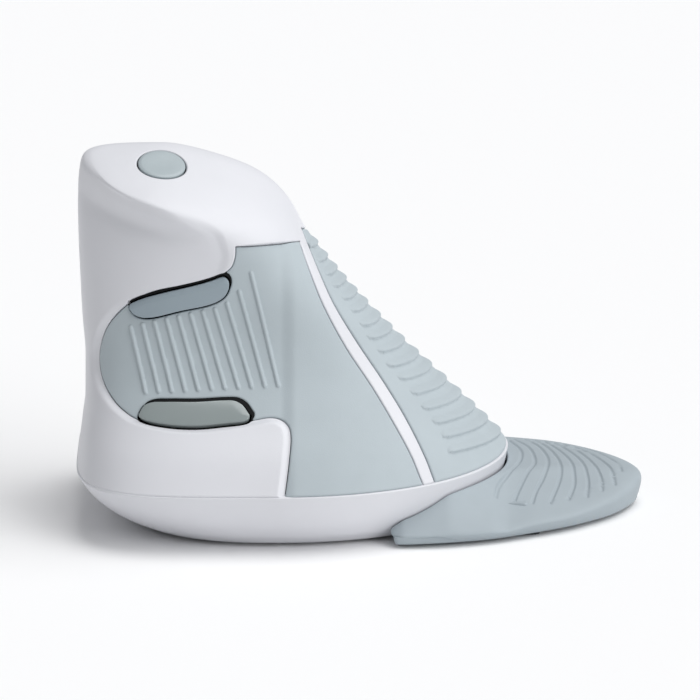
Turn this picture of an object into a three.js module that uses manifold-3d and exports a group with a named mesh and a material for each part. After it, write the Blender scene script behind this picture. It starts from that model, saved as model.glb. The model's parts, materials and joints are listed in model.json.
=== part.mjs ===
// Upright ("vertical") cordless computer mouse for the right hand, in millimetres.
// +X runs from the finger end to the palm rest, -Y is the thumb side, +Z is up.
import * as THREE from 'three';
import Module from 'manifold-3d';

const wasm = await Module();
wasm.setup();

// ---------------------------------------------------------------- dimensions
const SEAM_Z = 12;              // joint between the upper shell and the hull
const GAP = 0.3;                // clearance between neighbouring pieces
const SHELL_WALL = 2.8;         // upper shell wall
const GRIP_WALL = 1.2;          // soft grip laid in a recess of the shell
const HULL_WALL = 2.0;          // hull side wall and floor
const HULL_BOTTOM = 0.6;        // hull floor above the desk, the feet stand out below it
const FOOT_HEIGHT = 1.0;
const SCOOP_TILT = 15;          // lean of the thumb side plane in degrees
const FINGER_LEAN = 20;         // lean of the finger side wall in degrees
const TOP_TILT = 21;            // slope of the top face towards the thumb in degrees

const WHEEL_RADIUS = 11;
const WHEEL_WIDTH = 6;
const WHEEL_X = -38;
const WHEEL_DEPTH = 8;          // wheel centre below the finger wall
const BOARD_DEPTH = 11;         // finger board below the finger wall
const BOARD_THICK = 1.2;
const BATTERY_RADIUS = 7.25;
const BATTERY_LENGTH = 50.5;
const BATTERY_START_X = -31;
const BATTERY_Y = 9;
const BATTERY_Z = 10.4;
const REST_SPLIT = 2.4;         // palm rest cover above, plate below
const TONGUE_Y = [-13, -4];     // palm rest latches
const SENSOR_X = -18;
const SENSOR_Y = -12;

// Upper shell sections: height, front, rear, thumb side, finger side, centre x, centre y,
// corner squareness (front-thumb, rear-thumb, rear-finger, front-finger), tilt in degrees.
const SHELL_SECTIONS = [
  [12, -56.4, 30.0, -33.6, 33.4, -16, 7.0, 4.6, 2.0, 2.2, 4.0, 0],
  [18, -55.6, 24.2, -29.4, 30.6, -17, 7.0, 4.4, 2.1, 2.2, 4.0, 0],
  [25, -54.8, 17.0, -22.6, 28.0, -19, 7.0, 4.0, 2.3, 2.3, 4.0, 0],
  [32, -54.8, 9.8, -17.0, 25.2, -22, 6.5, 3.4, 2.5, 2.4, 4.0, 0],
  [40, -55.4, 2.2, -13.8, 22.2, -25, 6.0, 2.9, 2.7, 2.6, 4.0, 0],
  [48, -55.8, -5.0, -12.4, 19.4, -27, 6.0, 2.4, 2.9, 2.8, 3.9, 3],
  [55, -56.1, -10.6, -11.6, 17.0, -28, 6.5, 2.0, 2.9, 3.0, 3.8, 9],
  [60, -56.2, -13.8, -11.4, 15.6, -29, 7.0, 1.7, 2.8, 3.0, 3.7, 15],
  [64, -56.1, -18.8, -11.2, 14.4, -30, 7.5, 1.5, 2.6, 2.8, 3.6, 20],
  [67, -55.8, -26.0, -10.8, 13.4, -34, 7.5, 1.5, 2.4, 2.6, 3.5, 21],
  [69.0, -55.2, -33.5, -9.6, 12.6, -38, 7.2, 1.5, 2.3, 2.4, 3.2, 21],
  [69.9, -53.8, -38.0, -7.6, 11.0, -42, 6.6, 1.6, 2.2, 2.2, 2.8, 21],
  [70.3, -50.0, -42.0, -2.0, 7.0, -45, 4.0, 2.0, 2.0, 2.0, 2.0, 21],
];
const HULL_SECTIONS = [
  [0.6, -46.0, 26.0, -26.6, 26.0, -16, 7.0, 2.6, 2.0, 2.2, 2.8, 0],
  [3.0, -49.8, 27.6, -29.6, 28.8, -16, 7.0, 3.0, 2.0, 2.2, 3.2, 0],
  [6.0, -52.8, 28.8, -31.8, 31.0, -16, 7.0, 3.6, 2.0, 2.2, 3.6, 0],
  [9.0, -55.0, 29.5, -33.0, 32.8, -16, 7.0, 4.2, 2.0, 2.2, 3.9, 0],
  [12.0, -56.7, 30.1, -33.7, 33.7, -16, 7.0, 4.6, 2.0, 2.2, 4.0, 0],
];
const SHELL_LEVELS = [12.15, 16, 20, 25, 30, 36, 42, 48, 52, 56, 60, 63, 65.5, 67.5, 69,
  69.9, 70.3];
const RING = 48;                // corners of a shell section
const INNER_LEVELS = [12, 18, 25, 32, 40, 48, 55, 61, 66, 69, 70.1];
const HULL_LEVELS = [0.6, 1.6, 3, 5, 8, 11.85];

// Outlines on the thumb side plane: x, height along the plane.
const THUMB_GRIP = [
  [-24.4, 59.2], [-24.6, 57.2], [-26.6, 54.2], [-33.8, 52], [-41.2, 50.5], [-46, 48.2],
  [-50.2, 44.1], [-51.9, 40.3], [-52.3, 36.8], [-51.4, 33], [-48.9, 29.1], [-46, 26.6],
  [-44.1, 25.6], [-32.3, 23.9], [-20.7, 25.4], [-17.3, 25.9], [-15.1, 25.3], [-13.5, 22.7],
  [-13.8, 17], [-14.4, 12], [-15.4, 5], [16.4, 5], [12.5, 13], [10.5, 17.9], [6.9, 24.6],
  [2.6, 31.8], [-2.4, 39.3], [-7, 47.9], [-9.9, 55.4], [-11.7, 60.7], [-12, 60.7],
];
const PALM_GRIP = [
  [-11.6, 64], [-8.1, 55.4], [-4.9, 48.2], [-0.2, 40.4], [5.1, 32.5], [9.4, 25.4],
  [13.3, 17.5], [15, 13], [18.4, 5], [60, 5], [60, 64],
];
const UPPER_CAP = [
  [-46.2, 48], [-44.6, 45.8], [-42.5, 45.4], [-37.1, 46.3], [-29.1, 48.2], [-27.2, 49.2],
  [-25.9, 50.8], [-25.6, 52.4], [-26.4, 53.3], [-29.1, 52.6], [-33.9, 51.6], [-41.2, 50],
  [-45, 48.9],
];
const UPPER_OPENING = [
  [-47, 48.2], [-45.3, 45.2], [-42.5, 44.7], [-37, 45.6], [-29, 47.5], [-26.6, 48.5],
  [-24.9, 50.4], [-24.5, 52.6], [-25.2, 54.4], [-29.1, 53.6], [-34, 52.5], [-41.2, 50.9],
  [-45.4, 49.7],
];
const LOWER_CAP = [
  [-43.5, 26.2], [-43.2, 27.6], [-41.4, 28.8], [-37, 28.8], [-32.6, 28.8], [-24.8, 29.1],
  [-22.8, 28.2], [-21.4, 26.3], [-21.9, 25.3], [-27, 24.6], [-32.2, 24.2], [-38, 24.6],
  [-42.6, 25.5],
];
const LOWER_OPENING = [
  [-44.2, 26], [-43.9, 28.1], [-41.8, 29.7], [-37, 29.6], [-32.6, 29.6], [-24.6, 30],
  [-22, 28.9], [-20.4, 26.2], [-21.2, 24.9], [-27, 24], [-32.2, 23.6], [-38, 24],
  [-43, 24.9],
];

// Outlines on the finger side wall: x, height along the wall from its middle.
const INDEX_BUTTON = [[-50, 6.5], [-16, 6.5], [-17.5, 15], [-21, 20], [-26, 22], [-50, 22]];
const MIDDLE_BUTTON = [[-50, -22], [-9, -22], [-13, -6.5], [-50, -6.5]];

// Palm rest outline seen from above.
const REST_OUTLINE = [
  [6.7, -28.8], [8, -29.1], [11, -28.9], [17, -28], [26, -25.6], [34, -21.6], [41.6, -17],
  [47, -12.4], [51.6, -7.4], [55.2, -1], [56.7, 5], [55.6, 10], [52.4, 15.5], [47, 20],
  [40, 23.2], [34, 24], [28, 24.4], [22, 26.4], [17, 29], [13, 31], [10, 31.4], [8, 29.4],
  [9, 20], [10, 0], [9, -12], [7, -19], [6.3, -24], [6.4, -27.4],
];
const REST_CENTRE = [26, 0];

const COLOURS = {
  white: 0xe6e7eb,
  grey: 0x9fabb1,
  darkGrey: 0x87949c,
  black: 0x14181a,
  board: 0x2f6b4a,
  steel: 0xb9bdc2,
  rubber: 0x3a3f42,
  clear: 0xc8d6dc,
  cell: 0x3d5a73,
};

// ---------------------------------------------------------------- solids
function weld(geometry) {
  const source = geometry.index ? geometry.toNonIndexed() : geometry;
  const position = source.attributes.position;
  const seen = new Map();
  const points = [];
  const corners = [];
  for (let i = 0; i < position.count; i += 1) {
    const xyz = [position.getX(i), position.getY(i), position.getZ(i)];
    const key = xyz.map((v) => Math.round(v * 1e4)).join(',');
    if (!seen.has(key)) {
      seen.set(key, points.length / 3);
      points.push(...xyz);
    }
    corners.push(seen.get(key));
  }
  const kept = [];
  for (let i = 0; i < corners.length; i += 3) {
    const [a, b, c] = corners.slice(i, i + 3);
    if (a !== b && b !== c && a !== c) kept.push(a, b, c);
  }
  return { points: new Float32Array(points), corners: new Uint32Array(kept) };
}

function solid(geometry) {
  const { points, corners } = weld(geometry);
  return new wasm.Manifold(
    new wasm.Mesh({ numProp: 3, vertProperties: points, triVerts: corners }),
  );
}

function geometryOf(body) {
  const mesh = body.getMesh();
  const geometry = new THREE.BufferGeometry();
  geometry.setAttribute('position', new THREE.BufferAttribute(mesh.vertProperties, 3));
  geometry.setIndex(new THREE.BufferAttribute(mesh.triVerts, 1));
  geometry.computeVertexNormals();
  return geometry;
}

function union(first, ...rest) {
  return rest.reduce((sum, body) => sum.add(body), first);
}

function cut(first, ...rest) {
  return rest.reduce((sum, body) => sum.subtract(body), first);
}

// ---------------------------------------------------------------- frames
const degrees = THREE.MathUtils.degToRad;

function frame(origin, tiltDegrees, flip) {
  const s = Math.sin(degrees(tiltDegrees));
  const c = Math.cos(degrees(tiltDegrees));
  const u = new THREE.Vector3(1, 0, 0);
  const v = flip ? new THREE.Vector3(0, -s, c) : new THREE.Vector3(0, s, c);
  const w = new THREE.Vector3().crossVectors(u, v);
  return new THREE.Matrix4().makeBasis(u, v, w).setPosition(...origin);
}

function topFrame() {
  const u = new THREE.Vector3(1, 0, 0);
  const w = new THREE.Vector3(0, -Math.sin(degrees(TOP_TILT)), Math.cos(degrees(TOP_TILT)));
  const v = new THREE.Vector3().crossVectors(w, u);
  return new THREE.Matrix4().makeBasis(u, v, w).setPosition(-39.3, 4.2, 69.7);
}

const WORLD = new THREE.Matrix4();
const THUMB = frame([0, -27, 0], SCOOP_TILT, false);      // depth axis points out to the thumb
const FINGER = frame([0, 21.6, 42], FINGER_LEAN, true);   // depth axis points into the mouse
const TOP = topFrame();                                   // depth axis points out of the top

function box(place, x, y, z) {
  const geometry = new THREE.BoxGeometry(x[1] - x[0], y[1] - y[0], z[1] - z[0]);
  geometry.translate((x[0] + x[1]) / 2, (y[0] + y[1]) / 2, (z[0] + z[1]) / 2);
  return solid(geometry.applyMatrix4(place));
}

function disc(place, x, y, z, radius, sides = 28) {
  const geometry = new THREE.CylinderGeometry(radius, radius, z[1] - z[0], sides);
  geometry.rotateX(Math.PI / 2);
  geometry.translate(x, y, (z[0] + z[1]) / 2);
  return solid(geometry.applyMatrix4(place));
}

function prism(place, outline, from, to) {
  const shape = new THREE.Shape(outline.map(([x, y]) => new THREE.Vector2(x, y)));
  const geometry = new THREE.ExtrudeGeometry(shape, {
    depth: to - from,
    bevelEnabled: false,
    curveSegments: 1,
  });
  geometry.translate(0, 0, from);
  return solid(geometry.applyMatrix4(place));
}

function pad(place, x, y, z, radius) {
  return prism(place, roundedRectangle(x, y, radius), z[0], z[1]);
}

// ---------------------------------------------------------------- outlines
function roundedRectangle(x, y, radius) {
  const points = [];
  const corners = [[x[1], y[1], 0], [x[0], y[1], 1], [x[0], y[0], 2], [x[1], y[0], 3]];
  for (const [cx, cy, turn] of corners) {
    const ox = cx === x[1] ? cx - radius : cx + radius;
    const oy = cy === y[1] ? cy - radius : cy + radius;
    for (let k = 0; k <= 3; k += 1) {
      const angle = (turn + k / 3) * Math.PI / 2;
      points.push([ox + radius * Math.cos(angle), oy + radius * Math.sin(angle)]);
    }
  }
  return points;
}

function smooth(outline, count) {
  const points = outline.map(([x, y]) => new THREE.Vector3(x, y, 0));
  const curve = new THREE.CatmullRomCurve3(points, true, 'centripetal');
  return curve.getSpacedPoints(count).slice(0, count).map((p) => [p.x, p.y]);
}

function area(outline) {
  return outline.reduce((sum, [x, y], i) => {
    const [nx, ny] = outline[(i + 1) % outline.length];
    return sum + (x * ny - nx * y) / 2;
  }, 0);
}

// Grows an outline outwards by a distance (negative shrinks it).
function grow(outline, distance) {
  const side = Math.sign(area(outline)) * distance;
  const count = outline.length;
  return outline.map(([x, y], i) => {
    const [ax, ay] = outline[(i + count - 1) % count];
    const [bx, by] = outline[(i + 1) % count];
    const before = new THREE.Vector2(y - ay, ax - x).normalize();
    const after = new THREE.Vector2(by - y, x - bx).normalize();
    const normal = before.add(after).normalize();
    const spread = Math.max(0.5, normal.dot(after));
    return [x + normal.x * side / spread, y + normal.y * side / spread];
  });
}

// ---------------------------------------------------------------- lofted bodies
function slopes(rows, column) {
  const rise = rows.slice(1).map((row, i) => (row[column] - rows[i][column]) / (row[0] - rows[i][0]));
  return rows.map((row, i) => {
    if (i === 0) return rise[0];
    if (i === rows.length - 1) return rise[i - 1];
    if (rise[i - 1] * rise[i] <= 0) return 0;
    const before = rows[i][0] - rows[i - 1][0];
    const after = rows[i + 1][0] - rows[i][0];
    const w1 = 2 * after + before;
    const w2 = after + 2 * before;
    return (w1 + w2) / (w1 / rise[i - 1] + w2 / rise[i]);
  });
}

function sectionAt(rows, height) {
  const h = Math.min(Math.max(height, rows[0][0]), rows[rows.length - 1][0]);
  let i = rows.findIndex((row) => row[0] >= h) - 1;
  if (i < 0) i = 0;
  const span = rows[i + 1][0] - rows[i][0];
  const t = (h - rows[i][0]) / span;
  return rows[0].map((_, column) => {
    if (column === 0) return height;
    const m = slopes(rows, column);
    const a = (2 * t ** 3 - 3 * t ** 2 + 1) * rows[i][column];
    const b = (t ** 3 - 2 * t ** 2 + t) * span * m[i];
    const c = (-2 * t ** 3 + 3 * t ** 2) * rows[i + 1][column];
    const d = (t ** 3 - t ** 2) * span * m[i + 1];
    return a + b + c + d;
  });
}

function sectionRing(section, count) {
  const [height, front, rear, near, far, cx, cy, frontNear, rearNear, rearFar, frontFar, tilt] =
    section;
  const ring = [];
  for (let k = 0; k < count; k += 1) {
    const angle = (k + 0.5) * 2 * Math.PI / count;
    const c = Math.cos(angle);
    const s = Math.sin(angle);
    const nearSide = c >= 0 ? rearNear : frontNear;
    const farSide = c >= 0 ? rearFar : frontFar;
    const power = 2 / (s < 0 ? nearSide : farSide);
    const x = cx + (c >= 0 ? rear - cx : cx - front) * Math.sign(c) * Math.abs(c) ** power;
    const y = cy + (s < 0 ? cy - near : far - cy) * Math.sign(s) * Math.abs(s) ** power;
    ring.push([x, y, height + (y - 3) * Math.tan(degrees(tilt))]);
  }
  return ring;
}

function loft(rings) {
  const count = rings[0].length;
  const positions = [];
  const triangle = (a, b, c) => positions.push(...a, ...b, ...c);
  const middle = (ring) => [0, 1, 2].map((i) => ring.reduce((sum, p) => sum + p[i], 0) / count);
  const bottom = middle(rings[0]);
  const top = middle(rings[rings.length - 1]);
  for (let k = 0; k < count; k += 1) {
    const next = (k + 1) % count;
    triangle(bottom, rings[0][next], rings[0][k]);
    triangle(top, rings[rings.length - 1][k], rings[rings.length - 1][next]);
    for (let level = 1; level < rings.length; level += 1) {
      const [lower, upper] = [rings[level - 1], rings[level]];
      triangle(lower[k], lower[next], upper[next]);
      triangle(lower[k], upper[next], upper[k]);
    }
  }
  const geometry = new THREE.BufferGeometry();
  geometry.setAttribute('position', new THREE.Float32BufferAttribute(positions, 3));
  return solid(geometry);
}

function insetSection(section, inset) {
  const [height, front, rear, near, far, ...rest] = section;
  const steep = height < 30 ? 1.25 : 1.08;
  const lowered = height - inset * 1.07 * Math.max(0, (height - 50) / 20);
  return [lowered, front + inset, rear - 1.4 * inset, near + steep * inset,
    far - 1.06 * inset, ...rest];
}

function shellBody(inset, levels, count, foot = SEAM_Z + GAP / 2) {
  const sections = levels.map((height) => insetSection(sectionAt(SHELL_SECTIONS, height), inset));
  if (foot < levels[0]) sections.unshift([foot, ...sections[0].slice(1)]);
  return loft(sections.map((section) => sectionRing(section, count)));
}

function hullBody(inset, foot, top, count) {
  const levels = HULL_LEVELS.filter((height) => height > foot + 0.3 && height < top - 0.3);
  return loft([foot, ...levels, top].map((height) => {
    const section = sectionAt(HULL_SECTIONS, height);
    return sectionRing([height, section[1] + inset, section[2] - inset, section[3] + inset,
      section[4] - inset, ...section.slice(5)], count);
  }));
}

// ---------------------------------------------------------------- shared shell bodies
const outer = shellBody(0, SHELL_LEVELS, RING);
const underGrip = shellBody(GRIP_WALL, INNER_LEVELS, 36, 11);
const recessFloor = shellBody(GRIP_WALL + GAP, INNER_LEVELS, 36, 11);
const inner = shellBody(SHELL_WALL, INNER_LEVELS, 32, 11);
const postLimit = shellBody(2.1, INNER_LEVELS, 40, 11);
const wall = outer.subtract(inner);

const thumbSide = (outline) => prism(THUMB, outline, -15, 40);
const fingerSide = (outline) => prism(FINGER, outline, -12, 8);

// Caps stand a little proud of the shell.
const proud = shellBody(-0.5, SHELL_LEVELS, RING, 11);
const underCap = shellBody(1.8, INNER_LEVELS, 36, 10);
const capWall = proud.subtract(underCap);
const wellOuter = shellBody(SHELL_WALL + GAP, INNER_LEVELS, 40, 11);
const wellInner = shellBody(SHELL_WALL + GAP + 1, INNER_LEVELS, 40, 10);
const wellWall = wellOuter.subtract(wellInner);

// ---------------------------------------------------------------- pieces of the skin
function frontShell() {
  const posts = [
    [2, -19, 26],
    [3, 20.5, 26],
  ].map(([x, y, top]) => disc(WORLD, x, y, [SEAM_Z + GAP, top], 2.6, 16).intersect(postLimit));
  const webs = [
    [-36, 19, [19, 32]],
    [-30, -20.5, [-32, -20.5]],
  ].map(([x, y, reach]) => union(
    disc(WORLD, x, y, [SEAM_Z + GAP, 17.4], 2.6, 16),
    box(WORLD, [x - 1, x + 1], reach, [SEAM_Z + 1, 17]).intersect(postLimit),
  ));
  const boardPost = disc(FINGER, -15.5, 0, [SHELL_WALL - 1, BOARD_DEPTH - GAP], 1.8, 16)
    .intersect(postLimit);
  const recess = proud.subtract(recessFloor);
  const grips = union(thumbSide(grow(THUMB_GRIP, GAP / 2)), palmSide(GAP / 2));
  const shell = cut(
    union(wall, ...posts, ...webs, boardPost),
    recess.intersect(grips),
    thumbSide(smooth(UPPER_OPENING, 26)),
    thumbSide(smooth(LOWER_OPENING, 26)),
    disc(TOP, 0, 0, [-8, 4], 5.1),
    fingerSide(grow(INDEX_BUTTON, 0.4)),
    fingerSide(grow(MIDDLE_BUTTON, 0.4)),
    wheelSlot(),
  );
  return cut(shell, ...screwHoles());
}

function palmSide(distance) {
  return prism(THUMB, grow(PALM_GRIP, distance), -90, 40);
}

function wheelSlot() {
  const length = WHEEL_RADIUS + 1;
  return pad(FINGER, [WHEEL_X - length, WHEEL_X + length], [-4.1, 4.1], [-12, 8], 3.4);
}

function thumbGrip() {
  const grip = outer.subtract(underGrip).intersect(thumbSide(grow(THUMB_GRIP, -GAP / 2)));
  return cut(
    union(grip, ...thumbRibs()),
    thumbSide(smooth(UPPER_OPENING, 26)),
    thumbSide(smooth(LOWER_OPENING, 26)),
  );
}

function thumbRibs() {
  const ridge = shellBody(-0.4, SHELL_LEVELS, RING, 11);
  const band = ridge.subtract(shellBody(0.6, INNER_LEVELS, 36, 10));
  return THUMB_RIBS.map(([top, bottom]) => {
    const along = new THREE.Vector2(top[0] - bottom[0], top[1] - bottom[1]).normalize();
    const half = [along.y * 0.4, -along.x * 0.4];
    const bar = [
      [top[0] + half[0], top[1] + half[1]],
      [top[0] - half[0], top[1] - half[1]],
      [bottom[0] - half[0], bottom[1] - half[1]],
      [bottom[0] + half[0], bottom[1] + half[1]],
    ];
    return band.intersect(thumbSide(bar));
  });
}

const THUMB_RIBS = Array.from({ length: 11 }, (_, i) => {
  const lift = 0.5 * i + (i > 7 ? (i - 7) ** 2 * 0.62 : 0);
  return [[-45.5 + 2.42 * i, 43.5 + lift], [-42.6 + 2.63 * i, 30.2 + 0.12 * i]];
});

function palmGrip() {
  const grip = outer.subtract(underGrip).intersect(palmSide(-GAP / 2));
  return union(grip, ...palmRibs(grip));
}

// Raised bars across the palm grip, each lying level round the back of the mouse.
function palmRibs() {
  const band = proud.subtract(shellBody(0.6, INNER_LEVELS, 36, 10)).intersect(palmSide(-2.5));
  return Array.from({ length: 15 }, (_, i) => {
    const height = 16.2 + i * 2.72;
    return band.intersect(box(WORLD, [-30, 40], [-40, 24 - 1.3 * i], [height, height + 1.3]));
  });
}

function sideButton(cap, stem) {
  const face = capWall.intersect(thumbSide(smooth(cap, 26)));
  const post = box(THUMB, [stem[0] - 2, stem[0] + 2], [stem[1] - 1.3, stem[1] + 1.3], [-9, 6]);
  return union(face, post.intersect(underCapPlus));
}

const underCapPlus = shellBody(1, INNER_LEVELS, 36, 10);

function buttonWell(opening, stem) {
  const plate = wellWall.intersect(thumbSide(grow(smooth(opening, 26), 1.4)));
  return cut(plate, box(THUMB, [stem[0] - 2.5, stem[0] + 2.5], [stem[1] - 1.8, stem[1] + 1.8],
    [-30, 10]));
}

const UPPER_STEM = [-35.8, 49.2];
const LOWER_STEM = [-32.4, 26.8];

function dpiButton() {
  const face = capWall.intersect(disc(TOP, 0, 0, [-8, 4], 4.6));
  return union(face, disc(TOP, 0, 0, [-4.1, -1.2], 1.5, 16));
}

function mainButton(outline, rib) {
  const face = outer.subtract(underCap).intersect(fingerSide(outline));
  return union(face, box(FINGER, [rib[0] - 1.4, rib[0] + 1.4], [rib[1] - 1.6, rib[1] + 1.6],
    [1.2, 3.85]));
}

// ---------------------------------------------------------------- scroll wheel
function wheelTyre() {
  const profile = [
    [WHEEL_RADIUS - 2.2, -WHEEL_WIDTH / 2],
    [WHEEL_RADIUS - 0.7, -WHEEL_WIDTH / 2],
    [WHEEL_RADIUS, -WHEEL_WIDTH / 2 + 1],
    [WHEEL_RADIUS, WHEEL_WIDTH / 2 - 1],
    [WHEEL_RADIUS - 0.7, WHEEL_WIDTH / 2],
    [WHEEL_RADIUS - 2.2, WHEEL_WIDTH / 2],
    [WHEEL_RADIUS - 2.2, -WHEEL_WIDTH / 2],
  ];
  return turnedWheel(profile, 32);
}

function wheelHub() {
  const rim = WHEEL_RADIUS - 2.2 - GAP;
  const profile = [
    [0, -7.2], [1.2, -7.2], [1.2, -2.6], [rim, -2.6], [rim, 2.6], [1.2, 2.6], [1.2, 7.2],
    [0, 7.2],
  ];
  return turnedWheel(profile, 24);
}

function turnedWheel(profile, sides) {
  const geometry = new THREE.LatheGeometry(profile.map(([r, y]) => new THREE.Vector2(r, y)), sides);
  geometry.translate(WHEEL_X, 0, WHEEL_DEPTH);
  return solid(geometry.applyMatrix4(FINGER));
}

function wheelCarrier() {
  const cheek = (s) => box(FINGER, [-44.5, -24], s, [5, 13]);
  const body = union(
    cheek([3.6, 4.8]),
    cheek([-4.8, -3.6]),
    box(FINGER, [-26, -24], [-4.8, 4.8], [4, 13]),
    box(FINGER, [-24.5, -19.2], [-2, 2], [4, 5.2]),
  );
  return cut(body, disc(FINGER.clone().multiply(axleTurn()), 0, 0, [-9, 9], 1.5, 16));
}

function axleTurn() {
  return new THREE.Matrix4().makeRotationX(Math.PI / 2).setPosition(WHEEL_X, 0, WHEEL_DEPTH);
}

function wheelEncoder() {
  const body = box(FINGER, [-43, -33], [5.2, 8.4], [3.8, 10.6]);
  return cut(body, disc(FINGER.clone().multiply(axleTurn()), 0, 0, [-9, 9], 1.5, 16));
}

// ---------------------------------------------------------------- electronics
function fingerBoard() {
  const plate = box(FINGER, [-47.8, -14.4], [-17, 16.6], [BOARD_DEPTH, BOARD_DEPTH + BOARD_THICK]);
  return cut(plate, box(FINGER, [-60, -22.6], [-5.4, 9], [5, 20]));
}

function microSwitch(x, s, [halfX, halfS], height) {
  const top = BOARD_DEPTH - GAP - height;
  return union(
    box(FINGER, [x - halfX, x + halfX], [s - halfS, s + halfS], [top, top + height]),
    box(FINGER, [x - 1.2, x + 1.2], [s - 0.7, s + 0.7], [top - 0.7, top + 0.1]),
  );
}

function sideSwitch([x, y]) {
  return union(
    box(THUMB, [x - 3, x + 3], [y - 3, y + 3], [-13.4, -10.4]),
    disc(THUMB, x, y, [-10.5, -9.65], 1.1, 16),
  );
}

function sideBoard() {
  return box(THUMB, [-43, -25], [21, 55], [-14.9, -13.7]);
}

function topSwitch() {
  return union(
    box(TOP, [-3, 3], [-3, 3], [-8.2, -5.2]),
    disc(TOP, 0, 0, [-5.3, -4.65], 1.1, 16),
  );
}

function topBoard() {
  return box(TOP, [-8, 8], [-8, 3.4], [-9.7, -8.5]);
}

function mainBoard() {
  return cut(
    box(WORLD, [-31, 10], [-17, -1], [5.6, 6.8]),
    box(WORLD, [SENSOR_X - 3, SENSOR_X + 3], [SENSOR_Y - 3, SENSOR_Y + 3], [5, 8]),
    disc(WORLD, 2, -19, [4, 9], 3.6, 16),
  );
}

function sensorLens() {
  return union(
    box(WORLD, [SENSOR_X - 7, SENSOR_X + 7], [SENSOR_Y - 5, SENSOR_Y + 5], [3.2, 4.6]),
    disc(WORLD, SENSOR_X, SENSOR_Y, [1.8, 5.2], 2.2, 20),
  );
}

function powerSwitch() {
  return cut(
    box(WORLD, [-41.5, -32.5], [-8, -3], [3.2, 7.6]),
    box(WORLD, [-40.2, -33.8], [-6.7, -4.3], [3, 5]),
  );
}

function powerKnob() {
  return union(
    pad(WORLD, [-39.9, -36.3], [-7.6, -3.4], [0.9, 1.8], 0.8),
    box(WORLD, [-39.1, -37.1], [-6.3, -4.7], [1.5, 4.6]),
  );
}

// ---------------------------------------------------------------- hull
const SCREWS = [[-30, -20.5], [2, -19], [3, 20.5], [-36, 19]];

function screwHoles() {
  return SCREWS.map(([x, y]) => disc(WORLD, x, y, [0, 16.4], 1.4, 12));
}

function screw([x, y]) {
  return union(
    disc(WORLD, x, y, [3.4, 5.2], 2.1, 12),
    disc(WORLD, x, y, [5, 15.6], 1.05, 8),
  );
}

function hull() {
  const shell = hullBody(0, HULL_BOTTOM, SEAM_Z - GAP / 2, 52)
    .subtract(hullBody(HULL_WALL, HULL_BOTTOM + HULL_WALL, SEAM_Z + 1, 36));
  const solidHull = hullBody(1, HULL_BOTTOM, SEAM_Z - GAP / 2, 36);
  const bosses = SCREWS.map(([x, y]) => disc(WORLD, x, y, [1.2, 11.6], 3.2, 16));
  const bayEnds = [-34.2, 21.8].map((x) => box(WORLD, [x - 0.6, x + 0.6], [4, 14], [1.2, 11.5]));
  const body = union(shell, ...bosses.map((boss) => boss.intersect(solidHull)), ...bayEnds);
  return cut(
    body,
    ...SCREWS.map(([x, y]) => disc(WORLD, x, y, [0, 5.5], 2.5, 16)),
    ...screwHoles(),
    batteryOpening(0),
    disc(WORLD, SENSOR_X, SENSOR_Y, [0, 4], 3.2, 24),
    pad(WORLD, [-40.2, -33.4], [-7.9, -3.1], [0, 2.1], 1),
    box(WORLD, [-39.4, -34.2], [-6.6, -4.4], [0, 4]),
    ...TONGUE_Y.map((y) => box(WORLD, [18, 34], [y - 3.1, y + 3.1], [3.1, 6.1])),
    ...FEET.map(([x, y]) => pad(WORLD, wide(x, GAP), wide(y, GAP), [0, FOOT_HEIGHT + GAP], 2)),
  );
}

function batteryOpening(play) {
  return pad(WORLD, [-33 + play, 20.6 - play], [BATTERY_Y - 7.6 + play, BATTERY_Y + 7.6 - play],
    [HULL_BOTTOM - 1 + play, 4], 2);
}

function batteryDoor() {
  const plate = batteryOpening(0.35);
  return plate.intersect(box(WORLD, [-40, 40], [-40, 40], [HULL_BOTTOM, HULL_BOTTOM + 1.6]));
}

function battery() {
  const button = 1.4;
  const profile = [
    [0, 0], [BATTERY_RADIUS - 0.5, 0], [BATTERY_RADIUS, 0.5],
    [BATTERY_RADIUS, BATTERY_LENGTH - button - 0.5], [BATTERY_RADIUS - 0.5, BATTERY_LENGTH - button],
    [2.75, BATTERY_LENGTH - button], [2.75, BATTERY_LENGTH], [0, BATTERY_LENGTH],
  ];
  const geometry = new THREE.LatheGeometry(profile.map(([r, y]) => new THREE.Vector2(r, y)), 24);
  geometry.rotateZ(-Math.PI / 2);
  geometry.translate(BATTERY_START_X, BATTERY_Y, BATTERY_Z);
  return solid(geometry);
}

function batterySpring() {
  const turns = 2.5;
  const points = Array.from({ length: 31 }, (_, i) => {
    const angle = (i / 30) * turns * 2 * Math.PI;
    const radius = 4.2 - 1.6 * (i / 30);
    return new THREE.Vector3(-33 + 1.6 * (i / 30), BATTERY_Y + radius * Math.cos(angle),
      BATTERY_Z + radius * Math.sin(angle));
  });
  const ring = new THREE.Shape();
  ring.absarc(0, 0, 0.22, 0, 2 * Math.PI, false);
  return solid(new THREE.ExtrudeGeometry(ring, {
    steps: 30,
    curveSegments: 3,
    extrudePath: new THREE.CatmullRomCurve3(points),
  }));
}

function batteryContact() {
  return box(WORLD, [20.1, 20.8], [BATTERY_Y - 4.5, BATTERY_Y + 4.5], [6, 14.5]);
}

// ---------------------------------------------------------------- feet
const FEET = [
  [[-44, -40], [-3, 12]],
  [[-24, -4], [-22.6, -18.8]],
  [[-24, -4], [19.4, 23.2]],
  [[11, 15], [-11, -1]],
];
const REST_FEET = [
  [[22, 36], [-18.4, -15]],
  [[43, 46.6], [-2, 12]],
];
const wide = ([from, to], by) => [from - by, to + by];

function foot([x, y], height) {
  return pad(WORLD, x, y, [0, height], 1.6);
}

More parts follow.
